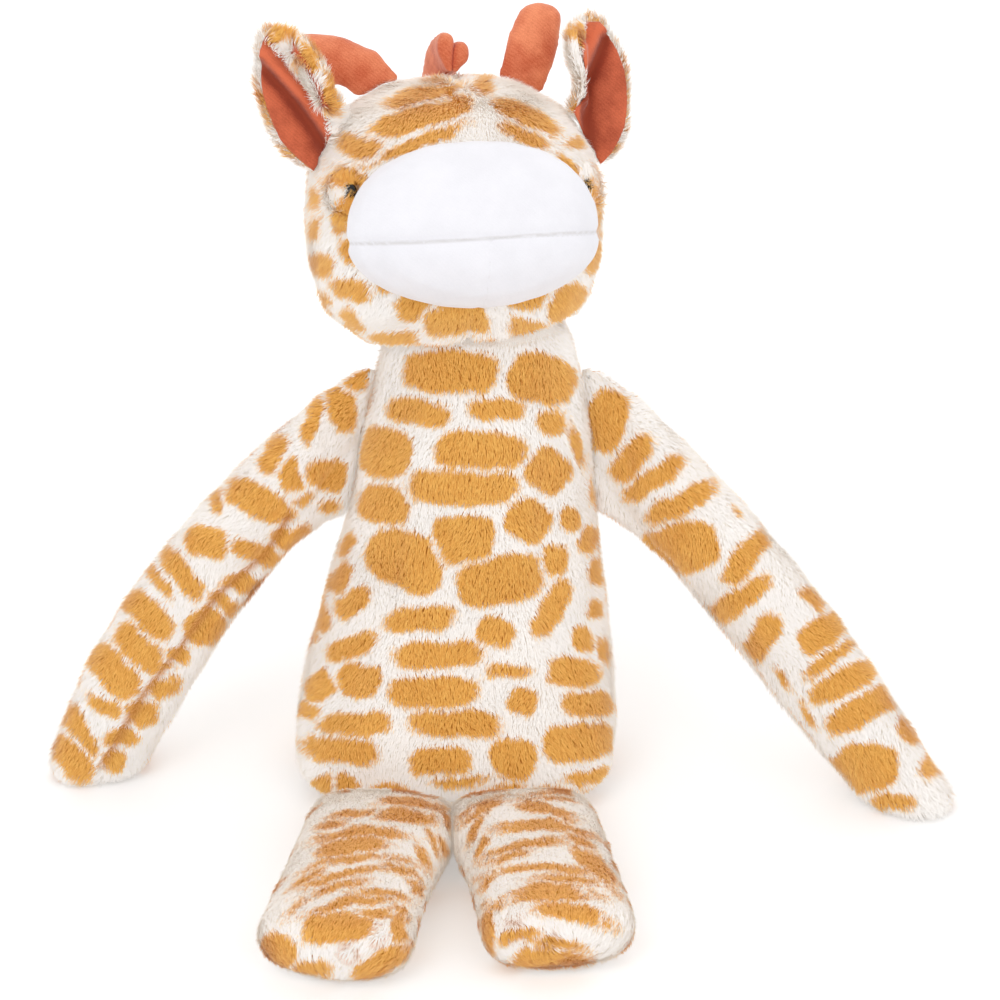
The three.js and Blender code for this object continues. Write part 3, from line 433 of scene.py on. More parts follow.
def outer_side(points, spot):
    """1 on the side of an eye that's away from the muzzle, 0 on the other."""
    outward = np.array([np.sign(spot[0] - 0.005), 0.3, 0])
    return smooth_step((in_head(points) - in_head(spot)) @ outward, -3, 3)


points = points_of(skins["head"])
for spot in EYE_SPOTS:
    far = np.linalg.norm(points - spot, axis=1) * 1000
    rise = (0.0012 + 0.0046 * outer_side(points, spot)) * smooth_step(far, 2.8, 5.6)
    points += (rise * (1 - smooth_step(far, 8, 17)))[:, None] * normals_of(skins["head"])
move_points(skins["head"], points)

MUZZLE_SEAM = -14  # how far above the head's middle the muzzle's seam is, in millimetres
place = in_head(points_of(skins["muzzle"]))
fuller = np.where(place[:, 0] < 0, 0.045, 0.008) * smooth_step(np.abs(place[:, 0]), 15, 50) * place[:, 0]
fuller -= 0.07 * smooth_step(MUZZLE_SEAM - place[:, 2], 3, 30) * place[:, 0]
chin = 1.6 * smooth_step(MUZZLE_SEAM - place[:, 2], 8, 30) * np.exp(-((place[:, 0] / 26) ** 2))
shift = fuller[:, None] * HEAD_AXES[0] - chin[:, None] * HEAD_AXES[2]
move_points(skins["muzzle"], points_of(skins["muzzle"]) + shift / 1000)
place = in_head(points_of(skins["muzzle"]))
round_seam = np.abs(place[:, 2] - MUZZLE_SEAM - 1.2 * np.sin(place[:, 0] / 30)) / 1000
chin_seam = np.where(place[:, 2] < MUZZLE_SEAM, np.abs(place[:, 0]), 50) / 1000
press(skins["muzzle"], round_seam, 0.0014, 0.0022)
press(skins["muzzle"], chin_seam, 0.0005, 0.002)
seam["muzzle"] = np.minimum(round_seam, chin_seam * 1.5 + 0.0006)

for limb in ("arm_left", "arm_right", "leg_left", "leg_right"):
    share, way, out = along_spine(limb, points_of(skins[limb]))
    down = np.array({"arm_right": (0.25, -1, -0.6), "arm_left": (0, -0.45, -1)}.get(limb, (0, -0.25, -1)))
    down = unit(down - way * (way @ down)[:, None])
    turned = np.arccos(np.clip((unit(out) * down).sum(1), -1, 1))
    seam[limb] = turned * np.linalg.norm(out, axis=1) + 0.02 * smooth_step(share, 0.86, 0.97)
    press(skins[limb], seam[limb], 0.0015, 0.0035)
for name in ("torso", "arm_left", "arm_right", "leg_left", "leg_right"):
    stand_on_floor(skins[name])
print("seams on", sorted(seam))

# %% [markdown]
# ## The fibre fill
# What is inside shows only when the toy is opened: soft fibre, a little lumpy. Each fill is its skin's shape,
# drawn in under the cloth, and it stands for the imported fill.


# %% Fill each skin
def fibre_fill(name, skin, depth):
    fill = new_object(f"{name}_fill", skin.data.copy())
    points = points_of(fill)
    lumps = depth * (1 + 0.22 * wander(points, 0.014, 5) + 0.1 * wander(points, 0.005, 6))
    move_points(fill, points - normals_of(fill) * lumps[:, None])
    modify(fill, "SMOOTH", iterations=2)
    modify(fill, "DECIMATE", ratio=0.2)
    keep_result(fill)
    return fill


fills = {}
for name, skin in skins.items():
    fills[name] = fibre_fill(name, skin, 0.0012 if name.startswith("horn") else 0.0035)
print("filled", sorted(fills))

# %% [markdown]
# ## Ears and mane
# An ear is a velour lining sewn to a pile back and folded lengthwise. The back's cloth is turned over the
# inner edge, so pile grows on a strip of the lining too. The mane is two layers of velour. They are thin, so
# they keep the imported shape, remeshed finely and relaxed until they look sewn.

# %% Soften the thin pieces
FOLDS = {  # where an ear's deep fold shows in the photograph, from its tip to its root, in pixels
    "ear_right": ((266, 62), (290, 96), (330, 158)),
    "ear_left": ((599, 36), (584, 84), (590, 152)),
}


def beside_fold(points, line):
    """How far points show from a line on the photograph, in millimetres, more than 0 on its inner side."""
    shown = np.stack(in_photo(points), 1)
    best = np.full(len(points), np.inf)
    for a, b in zip(line, line[1:]):
        way = np.subtract(b, a)
        t = np.clip((shown - a) @ way / (way @ way), 0, 1)
        gap = shown - a - t[:, None] * way
        side = np.sign(gap[:, 0]) if line[0][0] < PHOTO_SIDE / 2 else -np.sign(gap[:, 0])
        away = np.linalg.norm(gap, axis=1) * side
        best = np.where(np.abs(away) < np.abs(best), away, best)
    return best * MM_PER_PIXEL


TURNED_OVER = {  # where the pile cloth that is turned over an ear's inner edge ends, in pixels, tip to root
    "ear_right": ((258, 36), (295, 74), (322, 108), (326, 132)),
    "ear_left": ((588, 14), (585, 50), (579, 78), (575, 112)),
}
leaves = {}
for side in ("left", "right"):
    leaves[f"ear_{side}_lining"] = even_copy(f"ear_{side}_lining_velour", [f"ear_{side}_lining"], 0.0009, 4)
    leaves[f"ear_{side}_back"] = even_copy(f"ear_{side}_back_cloth", [f"ear_{side}_back"], 0.0012, 4)
    normals = normals_of(leaves[f"ear_{side}_lining"])
    facing = unit(normals[normals @ TOWARD_CAMERA > 0.3].mean(0))
    for part in ("lining", "back"):
        leaf = leaves[f"ear_{side}_{part}"]
        aside = beside_fold(points_of(leaf), FOLDS[f"ear_{side}"])
        strip, crease = np.exp(-(((aside - 6) / 3.6) ** 2)), np.exp(-((aside / 3.2) ** 2))
        fold = 3.4 * strip - 4 * crease
        # Painted light and shade: along with its real fold, the lining is painted lighter on the raised strip
        # and darker in the crease.
        set_attribute(leaf, "brushed", 0.6 * strip - 0.8 * crease)
        high = smooth_step(points_of(leaf)[:, 2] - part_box(f"ear_{side}_lining")[0].z, 0.02, 0.062)
        lean = np.array([0.0035 if side == "left" else -0.0045, 0, -0.002]) * high[:, None]
        move_points(leaf, points_of(leaf) + lean + facing * fold[:, None] / 1000)
    mane = even_copy(f"mane_{side}_velour", [f"mane_{side}_panel"], 0.001, 2)
    place = in_head(points_of(mane))
    high = smooth_step(np.linalg.norm(place, axis=1), 60, 76)
    lower = (0.0072 if side == "left" else 0.003) * high
    spread = (0.0022 if side == "left" else -0.0022) * high + 0.001 * high * wander(points_of(mane), 0.03, 11)
    puffed = points_of(mane) + (0.0004 + 0.0024 * high)[:, None] * normals_of(mane)
    move_points(mane, puffed + spread[:, None] * HEAD_AXES[0] - lower[:, None] * HEAD_AXES[2])
    modify(mane, "SMOOTH", iterations=14)
    keep_result(mane)
    leaves[f"mane_{side}"] = mane
for name, leaf in leaves.items():
    print(name, len(leaf.data.vertices), "points")

# %% [markdown]
# ## How the pile lies
# Pile fabric has a direction: down the body, along each arm to the hand, along each leg to the foot, and away
# from the crown on the head.


# %% Which way the pile lies
def along_cloth(lie, normals):
    return unit(lie - normals * (lie * normals).sum(1, keepdims=True))


def lie_of_pile(name, obj):
    points = points_of(obj)
    if name in SPINES:
        lie = along_spine(name, points)[1] + np.array([0, -0.1, -0.3])
    elif name == "head":
        place = in_head(points)
        lie = -HEAD_AXES[2] + HEAD_AXES[0] * (place[:, :1] / 75) + HEAD_AXES[1] * 0.25
    else:
        lie = np.tile([0.0, -0.12, -1.0], (len(points), 1))
    return along_cloth(lie + 0.35 * drift(points, 0.03, 60), normals_of(obj))


# %% [markdown]
# ## The print
# The fabric is printed with ochre patches on off-white. Where the photograph shows them, each patch has its
# own place and size here, chosen in the photograph's pixels: across, down, half width, half height and
# the turn in degrees. A point of a skin is inside a patch where it shows there through the camera. On the
# sides that the photograph doesn't show, cells scattered with a fixed seed go on with the same pattern. Both
# give a distance to the nearest patch edge, more than 0 inside a patch, so they blend smoothly.

# %% The patches that the photograph shows
PRINT = {
    "ear_right": (
        (281, 36, 20, 9, 20), (306, 61, 17, 12, 35), (331, 96, 11, 21, 8), (262, 118, 9, 24, -12),
        (300, 158, 22, 10, 20),
    ),
    "ear_left": (
        (576, 36, 16, 10, -20), (557, 96, 19, 21, 10), (600, 24, 12, 7, 0), (626, 100, 9, 26, 5),
        (608, 152, 14, 9, 0),
    ),
    "torso": (
        (589, 543, 9, 14, 25), (598, 574, 7, 12, 0), (596, 612, 8, 9, 0), (604, 655, 7, 14, 0),
        (450, 375, 47, 21, 0), (543, 382, 32, 25, 15), (418, 415, 30, 12, 8), (497, 412, 27, 11, 0),
        (553, 425, 15, 11, 0), (384, 455, 27, 25, 20), (480, 453, 45, 19, 3), (549, 474, 22, 21, 40),
        (384, 508, 27, 20, 15), (463, 490, 55, 18, 2), (529, 523, 22, 20, 30), (571, 522, 11, 11, 0),
        (463, 543, 32, 25, -5), (406, 563, 40, 28, 25), (500, 583, 44, 24, -8), (555, 563, 13, 15, 0),
        (552, 612, 12, 30, 28), (583, 641, 11, 12, 0), (420, 622, 35, 12, -5), (495, 634, 19, 14, 20),
        (437, 657, 44, 13, -2), (350, 650, 26, 10, -20), (358, 683, 20, 17, 0), (507, 674, 22, 7, 0),
        (577, 675, 27, 14, 5), (434, 695, 44, 16, 0), (523, 705, 15, 13, 20), (353, 728, 35, 12, -3),
        (455, 727, 45, 14, 3), (340, 752, 38, 14, 8), (440, 765, 30, 15, 0), (514, 762, 22, 21, 0),
        (580, 745, 36, 19, -6), (590, 707, 26, 12, 0), (590, 782, 27, 9, -8), (325, 790, 12, 16, 60),
        (345, 790, 16, 12, 20), (385, 795, 22, 8, 0), (462, 785, 30, 6, 0), (560, 795, 20, 8, 0),
        (595, 803, 16, 17, 0), (318, 690, 14, 16, 50), (305, 712, 13, 9, 10), (340, 580, 16, 9, -60),
        (345, 548, 12, 8, -50), (322, 620, 14, 8, -70), (352, 605, 20, 12, -25), (310, 640, 8, 6, 0),
        (505, 790, 20, 5, 0), (577, 448, 5, 26, -22), (594, 485, 5, 20, -5),
    ),
    "head": (
        (341, 181, 22, 13, 18), (313, 205, 5, 13, 0), (314, 228, 7, 15, 10), (342, 220, 8, 19, 15),
        (350, 254, 12, 15, -35), (321, 269, 12, 12, 0), (352, 293, 21, 10, 10), (386, 290, 12, 6, -10),
        (327, 300, 6, 7, 0), (350, 326, 9, 15, -30), (386, 347, 29, 13, -4), (414, 308, 22, 12, -22),
        (455, 325, 32, 16, 0), (530, 333, 20, 10, 15), (571, 312, 22, 25, 0), (563, 350, 11, 6, 0),
        (533, 301, 24, 9, -18), (597, 263, 12, 17, -10), (600, 208, 6, 26, 0), (356, 149, 22, 12, 15),
        (418, 119, 52, 12, -17), (425, 92, 42, 9, -15), (412, 148, 52, 6, -22), (487, 84, 8, 12, -35),
        (530, 118, 34, 10, 27), (530, 140, 28, 8, 22), (572, 167, 18, 5, 45), (577, 146, 8, 6, 0),
        (440, 76, 20, 7, -10), (326, 172, 6, 8, 0), (470, 345, 20, 6, 0),
    ),
    "arm_right": (
        (352, 380, 14, 15, 0), (338, 408, 14, 27, -20), (309, 422, 8, 24, 18), (271, 457, 11, 20, 20),
        (326, 478, 18, 17, 0), (290, 480, 11, 20, -15), (303, 501, 13, 8, 0), (326, 508, 12, 6, 0),
        (258, 505, 38, 15, 30), (215, 501, 7, 13, 10), (205, 545, 22, 16, 10), (290, 542, 20, 14, -10),
        (257, 557, 29, 9, 22), (181, 577, 35, 10, 52), (156, 583, 22, 6, 55), (242, 588, 21, 8, 8),
        (223, 609, 18, 8, 25), (146, 617, 30, 15, 42), (205, 630, 22, 18, -20), (142, 655, 36, 15, 38),
        (172, 660, 15, 10, 0), (115, 677, 36, 16, 50), (163, 691, 19, 9, -20), (77, 675, 4, 11, 10),
        (106, 710, 21, 7, 28), (140, 716, 18, 12, 0), (80, 735, 34, 9, 55), (121, 742, 16, 8, 0),
        (70, 760, 30, 13, 45), (111, 765, 13, 10, 0), (330, 365, 10, 8, 0),
    ),
    "arm_left": (
        (607, 424, 21, 32, 15), (634, 461, 28, 12, -48), (655, 482, 35, 11, -36), (684, 505, 37, 11, -28),
        (682, 550, 38, 26, -10), (748, 560, 33, 12, -52), (741, 603, 36, 11, -35), (765, 640, 25, 14, -60),
        (628, 542, 9, 6, 20), (825, 636, 26, 17, -30), (833, 659, 29, 7, -40), (846, 684, 38, 13, -28),
        (869, 710, 43, 14, -28), (917, 728, 17, 17, 0), (866, 771, 32, 24, -10), (936, 763, 20, 9, -52),
        (816, 600, 13, 7, 45), (785, 682, 12, 4, 50), (808, 716, 14, 4, 60), (893, 804, 20, 8, 0),
        (738, 512, 7, 3, 45), (600, 525, 10, 5, 40),
    ),
    "leg_right": (
        (420, 803, 40, 6, 10), (448, 820, 14, 5, 60), (405, 817, 30, 7, 5), (350, 815, 22, 4, -10),
        (362, 833, 46, 5, -3), (352, 846, 36, 8, -8), (362, 859, 56, 4, -2), (345, 875, 42, 4, -12),
        (398, 869, 26, 5, 27), (330, 890, 36, 4, -18), (382, 894, 28, 4, 5), (352, 903, 46, 4, -8),
        (337, 928, 36, 15, -5), (399, 930, 9, 26, 0), (276, 958, 20, 24, 30), (384, 960, 38, 11, -25),
        (312, 968, 20, 7, 0), (434, 845, 16, 4, 65), (425, 862, 14, 4, 65), (443, 850, 12, 4, 70),
        (413, 885, 16, 4, 55), (300, 905, 20, 4, -35), (330, 825, 16, 4, -15), (440, 800, 18, 5, 20),
        (305, 880, 20, 4, -30), (375, 915, 30, 5, 0),
    ),
    "leg_left": (
        (487, 805, 34, 6, -32), (535, 795, 30, 4, 0), (547, 810, 30, 5, 14), (548, 827, 50, 6, 5),
        (476, 830, 18, 4, -60), (525, 846, 44, 4, -12), (507, 858, 22, 4, -15), (540, 868, 58, 4, 0),
        (597, 868, 30, 9, 45), (574, 880, 40, 4, 6), (548, 893, 52, 8, -3), (577, 915, 42, 9, 14),
        (487, 935, 9, 30, 0), (552, 958, 42, 11, 0), (520, 937, 22, 5, -10), (610, 888, 16, 4, 40),
        (480, 850, 12, 4, -65), (490, 880, 14, 4, -50), (580, 842, 20, 5, 35), (604, 925, 10, 8, 0),
        (500, 905, 24, 5, -25), (465, 815, 10, 4, -50), (560, 945, 26, 5, 5), (590, 895, 16, 4, 20),
    ),
}

# %% Work out the print on each skin
def patch_edge(points, patches, bend, apart):
    """Millimetres inside the nearest listed patch. `bend` curves long streaks, as they follow a round leg,
    and `apart` keeps half of the white line between neighbours clear."""
    across, down = in_photo(points)
    across = across + 2.0 * wander(points, 0.012, 21) + 0.8 * wander(points, 0.004, 22)
    down = down + 1.6 * wander(points, 0.012, 23) + 0.8 * wander(points, 0.004, 24)
    best = np.full(len(points), -20.0)
    second = best.copy()
    for x, y, half_width, half_height, turn in patches:
        c, s = math.cos(math.radians(turn)), math.sin(math.radians(turn))
        u = (across - x) * c + (down - y) * s
        v = (down - y) * c - (across - x) * s - bend * u * u
        reach = ((np.abs(u) / half_width) ** 3 + (np.abs(v) / half_height) ** 3) ** (1 / 3)
        inside = (1 - reach) * min(half_width, half_height)
        second = np.maximum(second, np.minimum(best, inside))
        best = np.maximum(best, inside)
    return np.minimum(best, (best - second) / 2 - apart) * MM_PER_PIXEL


def cell_edge(points, spacing, gap, seed):
    """Millimetres inside the nearest cell of a scattered pattern, whose cells are `gap` apart."""
    rng = np.random.default_rng(seed)
    scaled = points * 1000 / np.array(spacing) + 0.1 * drift(points, 0.02, seed)
    ends = zip(np.floor(scaled.min(0)) - 1, np.ceil(scaled.max(0)) + 1)
    steps = [np.arange(low, high) for low, high in ends]
    grid = np.stack(np.meshgrid(*steps, indexing="ij"), -1).reshape(-1, 3)
    seeds = grid + rng.uniform(0.12, 0.88, grid.shape)
    edge = np.empty(len(points))
    for at in range(0, len(points), 2000):
        part = scaled[at:at + 2000]
        away = ((part[:, None, :] - seeds[None]) ** 2).sum(2)
        two = np.argpartition(away, 1, axis=1)[:, :2]
        first, second = np.take_along_axis(away, two, 1).T
        apart = np.linalg.norm(seeds[two[:, 0]] - seeds[two[:, 1]], axis=1)
        edge[at:at + 2000] = np.abs(second - first) / (2 * apart) * min(spacing) - gap / 2
    return edge


PILE = {  # for each kind of piece: the pile's length in metres, and how steeply it rises
    "torso": (0.0048, 0.7),
    "head": (0.0056, 0.55),
    "arm": (0.0052, 0.65),
    "leg": (0.0038, 0.3),
    "ear": (0.007, 0.6),
    "edge": (0.007, 0.7),  # where it's turned over an ear's inner edge
}
SPACING = {  # from patch to patch where the photograph shows none, in millimetres
    "torso": (38, 38, 25),
    "head": (30, 30, 22),
    "arm": (30, 30, 24),
    "leg": (34, 13, 20),
    "ear": (24, 24, 20),
}


def print_on(obj, name, seed):
    """Stores the print where the pile's upper parts show it, a little along its lie from the roots."""
    kind = name.split("_")[0]
    length, rise = PILE[kind]
    normals = normals_of(obj)
    upper = 0.75 * length / math.hypot(1, rise)
    points = points_of(obj) + upper * (lie_of_pile(name, obj) + rise * normals)
    gap, bend, apart, wider = (5.0, 0.0032, 0.9, 0.2) if kind == "leg" else (6.5, 0, 2.4, 0.35)
    hidden = cell_edge(points, SPACING[kind], gap, seed)
    shown = patch_edge(points, PRINT[name], bend, apart) + wider
    share = smooth_step(normals @ TOWARD_CAMERA, 0.02, 0.34)
    edge = hidden * (1 - share) + shown * share
    set_attribute(obj, "print_edge", edge)
    return edge


for number, name in enumerate(("torso", "head", "arm_left", "arm_right", "leg_left", "leg_right")):
    edge = print_on(skins[name], name, 40 + number)
    print(name, "is", round(100 * float((edge > 0).mean())), "% ochre")

# %% [markdown]
# ## How long the pile is
# It is short where a piece meets its neighbour, and it parts at a seam and in a few places on the feet, where
# its roots show. There the pile is also painted darker, as painted shade down in the parting. Round an eye it's
# cut away on the muzzle's side, and long on the outer side, where it hangs over the eye and nearly hides it.

# %% How long the pile is
cloths = {**skins, **leaves}
trees = {name: tree_of(obj) for name, obj in cloths.items()}


def room_for_pile(name, obj, full=0.003, near=0.0003):
    """From 0 to 1: how much room a point's pile has before it meets another piece."""
    points = points_of(obj)
    room = np.ones(len(points))
    for other, tree in trees.items():
        if other == name:
            continue
        least = 0.7 if "muzzle" not in (name, other) and (other in skins or "mane" in other) else 0
        least = 0.95 if "torso" in (name, other) and "arm" in name + other else least
        low, high = points_of(cloths[other]).min(0) - full, points_of(cloths[other]).max(0) + full
        for i in np.nonzero(((points > low) & (points < high)).all(1))[0]:
            point = Vector(points[i])
            found, normal, _, away = tree.find_nearest(point, 0.03)
            if found is None:
                continue
            if (point - found).dot(normal) < 0:
                away = 0
            room[i] = min(room[i], max(least, (away - near) / full))
    return room


ARM_SEAM = ((291, 512), (266, 553), (220, 591), (178, 650), (145, 692), (103, 763))  # in pixels
PARTINGS = {  # where the pile on the feet is parted down to its roots, in pixels, with a radius
    "leg_right": ((352, 950, 17), (378, 936, 11)),
    "leg_left": ((516, 928, 14), (546, 940, 17)),
}
for name in ("torso", "head", "arm_left", "arm_right", "leg_left", "leg_right"):
    obj = skins[name]
    points = points_of(obj)
    pile = room_for_pile(name, obj) * (0.92 + 0.12 * wander(points, 0.02, 71))
    pile *= 0.6 + 0.4 * smooth_step(seam[name], 0.0004, 0.0032)
    if name in ("torso", "head"):
        inside = np.linalg.norm((points * 1000 - NECK) / NECK_SIZE, axis=1)
        deep = inside < 1.04 if name == "head" else (inside < 0.96) & (points[:, 2] > 0.222)
        pile = np.where(deep, 0, pile)
    if name == "head":
        place = in_head(points)
        pile *= 1 - 0.35 * smooth_step(-place[:, 1], 30, 55)
        for spot in EYE_SPOTS:
            far = np.linalg.norm(points - spot, axis=1)
            outer = outer_side(points, spot)
            pile *= smooth_step(far, 0.0056 - 0.0012 * outer, 0.0068 - 0.0014 * outer)
            pile *= 1 + 0.9 * outer * (1 - smooth_step(far, 0.009, 0.013))
    if name.startswith("leg"):
        from_root = np.linalg.norm(points - np.array(SPINES[name][0]) / 1000, axis=1)
        pile *= 0.5 + 0.5 * smooth_step(from_root, 0.004, 0.02)
    if name in SPINES:
        pile *= 1 + 0.35 * smooth_step(along_spine(name, points)[0], 0.9, 0.99)
    pile = np.where(points[:, 2] < 0.0012, 0, pile)
    lie = lie_of_pile(name, obj)
    seen = normals_of(obj) @ TOWARD_CAMERA > 0
    if name == "arm_right":
        beside = beside_fold(points, ARM_SEAM)
        parted = np.exp(-((beside / 1.5) ** 2)) * seen
        across = np.array([0.8, 0, 0]) - 0.6 * UP_THE_PHOTO
        lie = unit(lie + np.exp(-((beside / 4) ** 2))[:, None] * np.sign(beside)[:, None] * across)
        pile *= 1 - 0.5 * parted
        # The parting also carries painted shade: the print group darkens its fibres.
        set_attribute(obj, "parted", parted)
    if name.startswith("leg"):
        inner = 1 - smooth_step(np.abs(points[:, 0]), 0.006, 0.016)
        inner *= 1 - smooth_step(along_spine(name, points)[0], 0.22, 0.42)
        lie = unit(lie - 0.5 * inner[:, None] * np.sign(points[:, :1]) * np.array([1.0, 0, 0]))
        shown = np.stack(in_photo(points), 1)
        parted = np.zeros(len(points))
        for x, y, radius in PARTINGS[name]:
            near = np.exp(-((np.linalg.norm(shown - (x, y), axis=1) / radius) ** 2)) * seen
            centre = (points * near[:, None]).sum(0) / near.sum()
            lie = unit(lie + 0.9 * near[:, None] * unit(points - centre))
            parted = np.maximum(parted, near * np.clip(0.7 + 0.7 * wander(points, 0.005, 31), 0, 1))
        pile *= 1 - 0.3 * parted
        # The partings also carry painted shade: the print group darkens their fibres.
        set_attribute(obj, "parted", parted)
    set_attribute(obj, "pile", np.clip(pile, 0, 1.8))
    if name == "head":
        for spot in EYE_SPOTS:
            near = 1 - smooth_step(np.linalg.norm(points - spot, axis=1), 0.0085, 0.013)
            near *= 0.35 + 0.65 * outer_side(points, spot)
            lie = lie * (1 - near[:, None]) + near[:, None] * unit(spot - points)
    set_attribute(obj, "comb", lie)
    print(name, "pile covers", round(100 * float((pile > 0.05).mean())), "%")

# %% Print and comb the ears
def away_from(tree, points):
    return np.array([tree.find_nearest(Vector(p))[3] for p in points])


for side in ("left", "right"):
    back = leaves[f"ear_{side}_back"]
    points, normals = points_of(back), normals_of(back)
    hidden = cell_edge(points, SPACING["ear"], 6, 81 if side == "left" else 90)
    shown = patch_edge(points + 0.002 * normals, PRINT[f"ear_{side}"], 0, 1.5)
    share = smooth_step(normals @ TOWARD_CAMERA, -0.25, 0.1)
    set_attribute(back, "print_edge", hidden * (1 - share) + shown * share)
    lining = trees[f"ear_{side}_lining"]
    covered = np.array([lining.find_nearest(Vector(p), 0.01)[3] or 0.01 for p in points])
    ahead = [lining.ray_cast(Vector(p), Vector(n), 0.003)[0] for p, n in zip(points, normals)]
    faces_lining = np.array([hit is not None for hit in ahead])
    pile = np.where(faces_lining, 0, smooth_step(covered, 0.0004, 0.002))
    set_attribute(back, "pile", pile * smooth_step(away_from(trees["head"], points), 0.0005, 0.006))
    lie = 0.9 * HEAD_AXES[2] + (0.25 if side == "left" else -0.25) * HEAD_AXES[0]
    lie = lie + 0.45 * unit(points - points.mean(0)) + 0.25 * drift(points, 0.02, 95)
    set_attribute(back, "comb", along_cloth(lie, normals))
    front = leaves[f"ear_{side}_lining"]
    points, normals = points_of(front), normals_of(front)
    over = smooth_step(beside_fold(points, TURNED_OVER[f"ear_{side}"]), -0.5, 1.5)
    over *= normals @ TOWARD_CAMERA > 0
    set_attribute(front, "pile", over * smooth_step(away_from(trees["head"], points), 0.0005, 0.004))
    set_attribute(front, "print_edge", patch_edge(points + 0.003 * normals, PRINT[f"ear_{side}"], 0, 1.0))
    lie = 0.4 * HEAD_AXES[2] + (-0.9 if side == "left" else 0.7) * HEAD_AXES[0]
    set_attribute(front, "comb", along_cloth(lie + 0.3 * drift(points, 0.012, 98), normals))
    print("ear", side, "pile on", round(100 * float((pile > 0.05).mean())), "%")

# %% [markdown]
# ## Node helpers
# Both Geometry Nodes and materials are graphs, so one helper puts a node in, sets it, and feeds its inputs.
# Another opens a tree with its named sockets.


# %% Put a node in a tree
def socket_at(sockets, key):
    """The usable socket that has a name, or stands at a place."""
    usable = [s for s in sockets if s.enabled]
    return next(s for s in usable if s.name == key) if isinstance(key, str) else usable[key]


def feed(tree, socket, value):
    """Links a node's output to a socket, or sets the socket's value."""
    if isinstance(value, bpy.types.NodeSocket):
        tree.links.new(value, socket)
    else:
        socket.default_value = value


def put(tree, kind, inputs=(), out=None, **settings):
    """Adds a node, feeds its inputs by name or by place, and gives one output."""
    node = tree.nodes.new(kind)
    for key, value in settings.items():
        setattr(node, key, value)
    for key, value in inputs.items() if isinstance(inputs, dict) else enumerate(inputs):
        feed(tree, socket_at(node.inputs, key), value)
    return node if out == "node" else socket_at(node.outputs, out or 0)


def calculate(tree, operation, *values):
    return put(tree, "ShaderNodeMath", values, operation=operation)


def vectors(tree, operation, *values, out=None):
    return put(tree, "ShaderNodeVectorMath", values, out=out, operation=operation)


def rescale(tree, vector, factor):
    return put(tree, "ShaderNodeVectorMath", {"Vector": vector, "Scale": factor}, operation="SCALE")


def noise(tree, place, scale, detail, out="Fac", **more):
    inputs = {"Vector": place, "Scale": scale, "Detail": detail, **more}
    return put(tree, "ShaderNodeTexNoise", inputs, out=out)


def open_tree(name, kind, inputs, outputs):
    """A new tree: the tree itself, what goes in, what comes out, and the inputs' identifiers."""
    tree = bpy.data.node_groups.new(name, kind)
    identifiers = {}
    for title, (socket_type, value) in inputs.items():
        socket = tree.interface.new_socket(title, in_out="INPUT", socket_type="NodeSocket" + socket_type)
        if value is not None:
            socket.default_value = value
        identifiers[title] = socket.identifier
    for title, socket_type in outputs.items():
        tree.interface.new_socket(title, in_out="OUTPUT", socket_type="NodeSocket" + socket_type)
    given, give = tree.nodes.new("NodeGroupInput").outputs, tree.nodes.new("NodeGroupOutput").inputs
    return tree, given, give, identifiers


print("node helpers ready")

# %% [markdown]
# ## Growing the pile
# Real pile is dense soft fibre that gathers in small tufts. A Geometry Nodes tree scatters roots over the
# cloth, and puts a slim flat fibre on each. The fibre leans along the lie of the pile, and towards the middle
# of its tuft. It's shaded mostly by the cloth's own direction, which gives the soft look of a pile, and it's
# real mesh, so that it exports.

# %% One fibre of pile
fibre_mesh = bpy.data.meshes.new("pile_fibre")
WIDEST = 0.48  # the share of its length where a fibre is widest
fibre_points = [(0, 0, 0), (0.13, -0.5, WIDEST), (0.13, 0.5, WIDEST), (0.02, 0, 1)]
fibre_mesh.from_pydata(fibre_points, [], [(0, 2, 1), (1, 2, 3)])
along = fibre_mesh.attributes.new("along", "FLOAT", "POINT")
along.data.foreach_set("value", [point[2] for point in fibre_points])
for face in fibre_mesh.polygons:
    face.use_smooth = True
one_fibre = bpy.data.objects.new("pile_fibre", fibre_mesh)
print("a fibre has", len(fibre_mesh.vertices), "points")

# %% The pile tree
DENSITY = 3.2e6
pile_tree, given, give, PILE_INPUTS = open_tree(
    "pile", "GeometryNodeTree",
    {
        "Geometry": ("Geometry", None),
        "Fibre": ("Object", None),
        "Finish": ("Material", None),
        "Roots per square metre": ("Float", DENSITY),
        "Length": ("Float", 0.0062),
        "Width": ("Float", 0.00042),
        "Rise": ("Float", 0.75),
        "Tuft": ("Float", 0.0028),
        "Gather": ("Float", 0.45),
        "Wildness": ("Float", 0.3),
        "Seed": ("Int", 0),
    },
    {"Geometry": "Geometry"},
)
t = pile_tree


def named(name, kind):
    return put(t, "GeometryNodeInputNamedAttribute", {"Name": name}, data_type=kind)


def stored(geometry, name, value, kind):
    inputs = {"Geometry": geometry, "Name": name, "Value": value}
    return put(t, "GeometryNodeStoreNamedAttribute", inputs, data_type=kind, domain="POINT")


def random_value(low, high, seed, kind="FLOAT"):
    return put(t, "FunctionNodeRandomValue", {"Min": low, "Max": high, "Seed": seed}, data_type=kind)


def chance(low, high, salt):
    return random_value(low, high, calculate(t, "ADD", given["Seed"], salt))


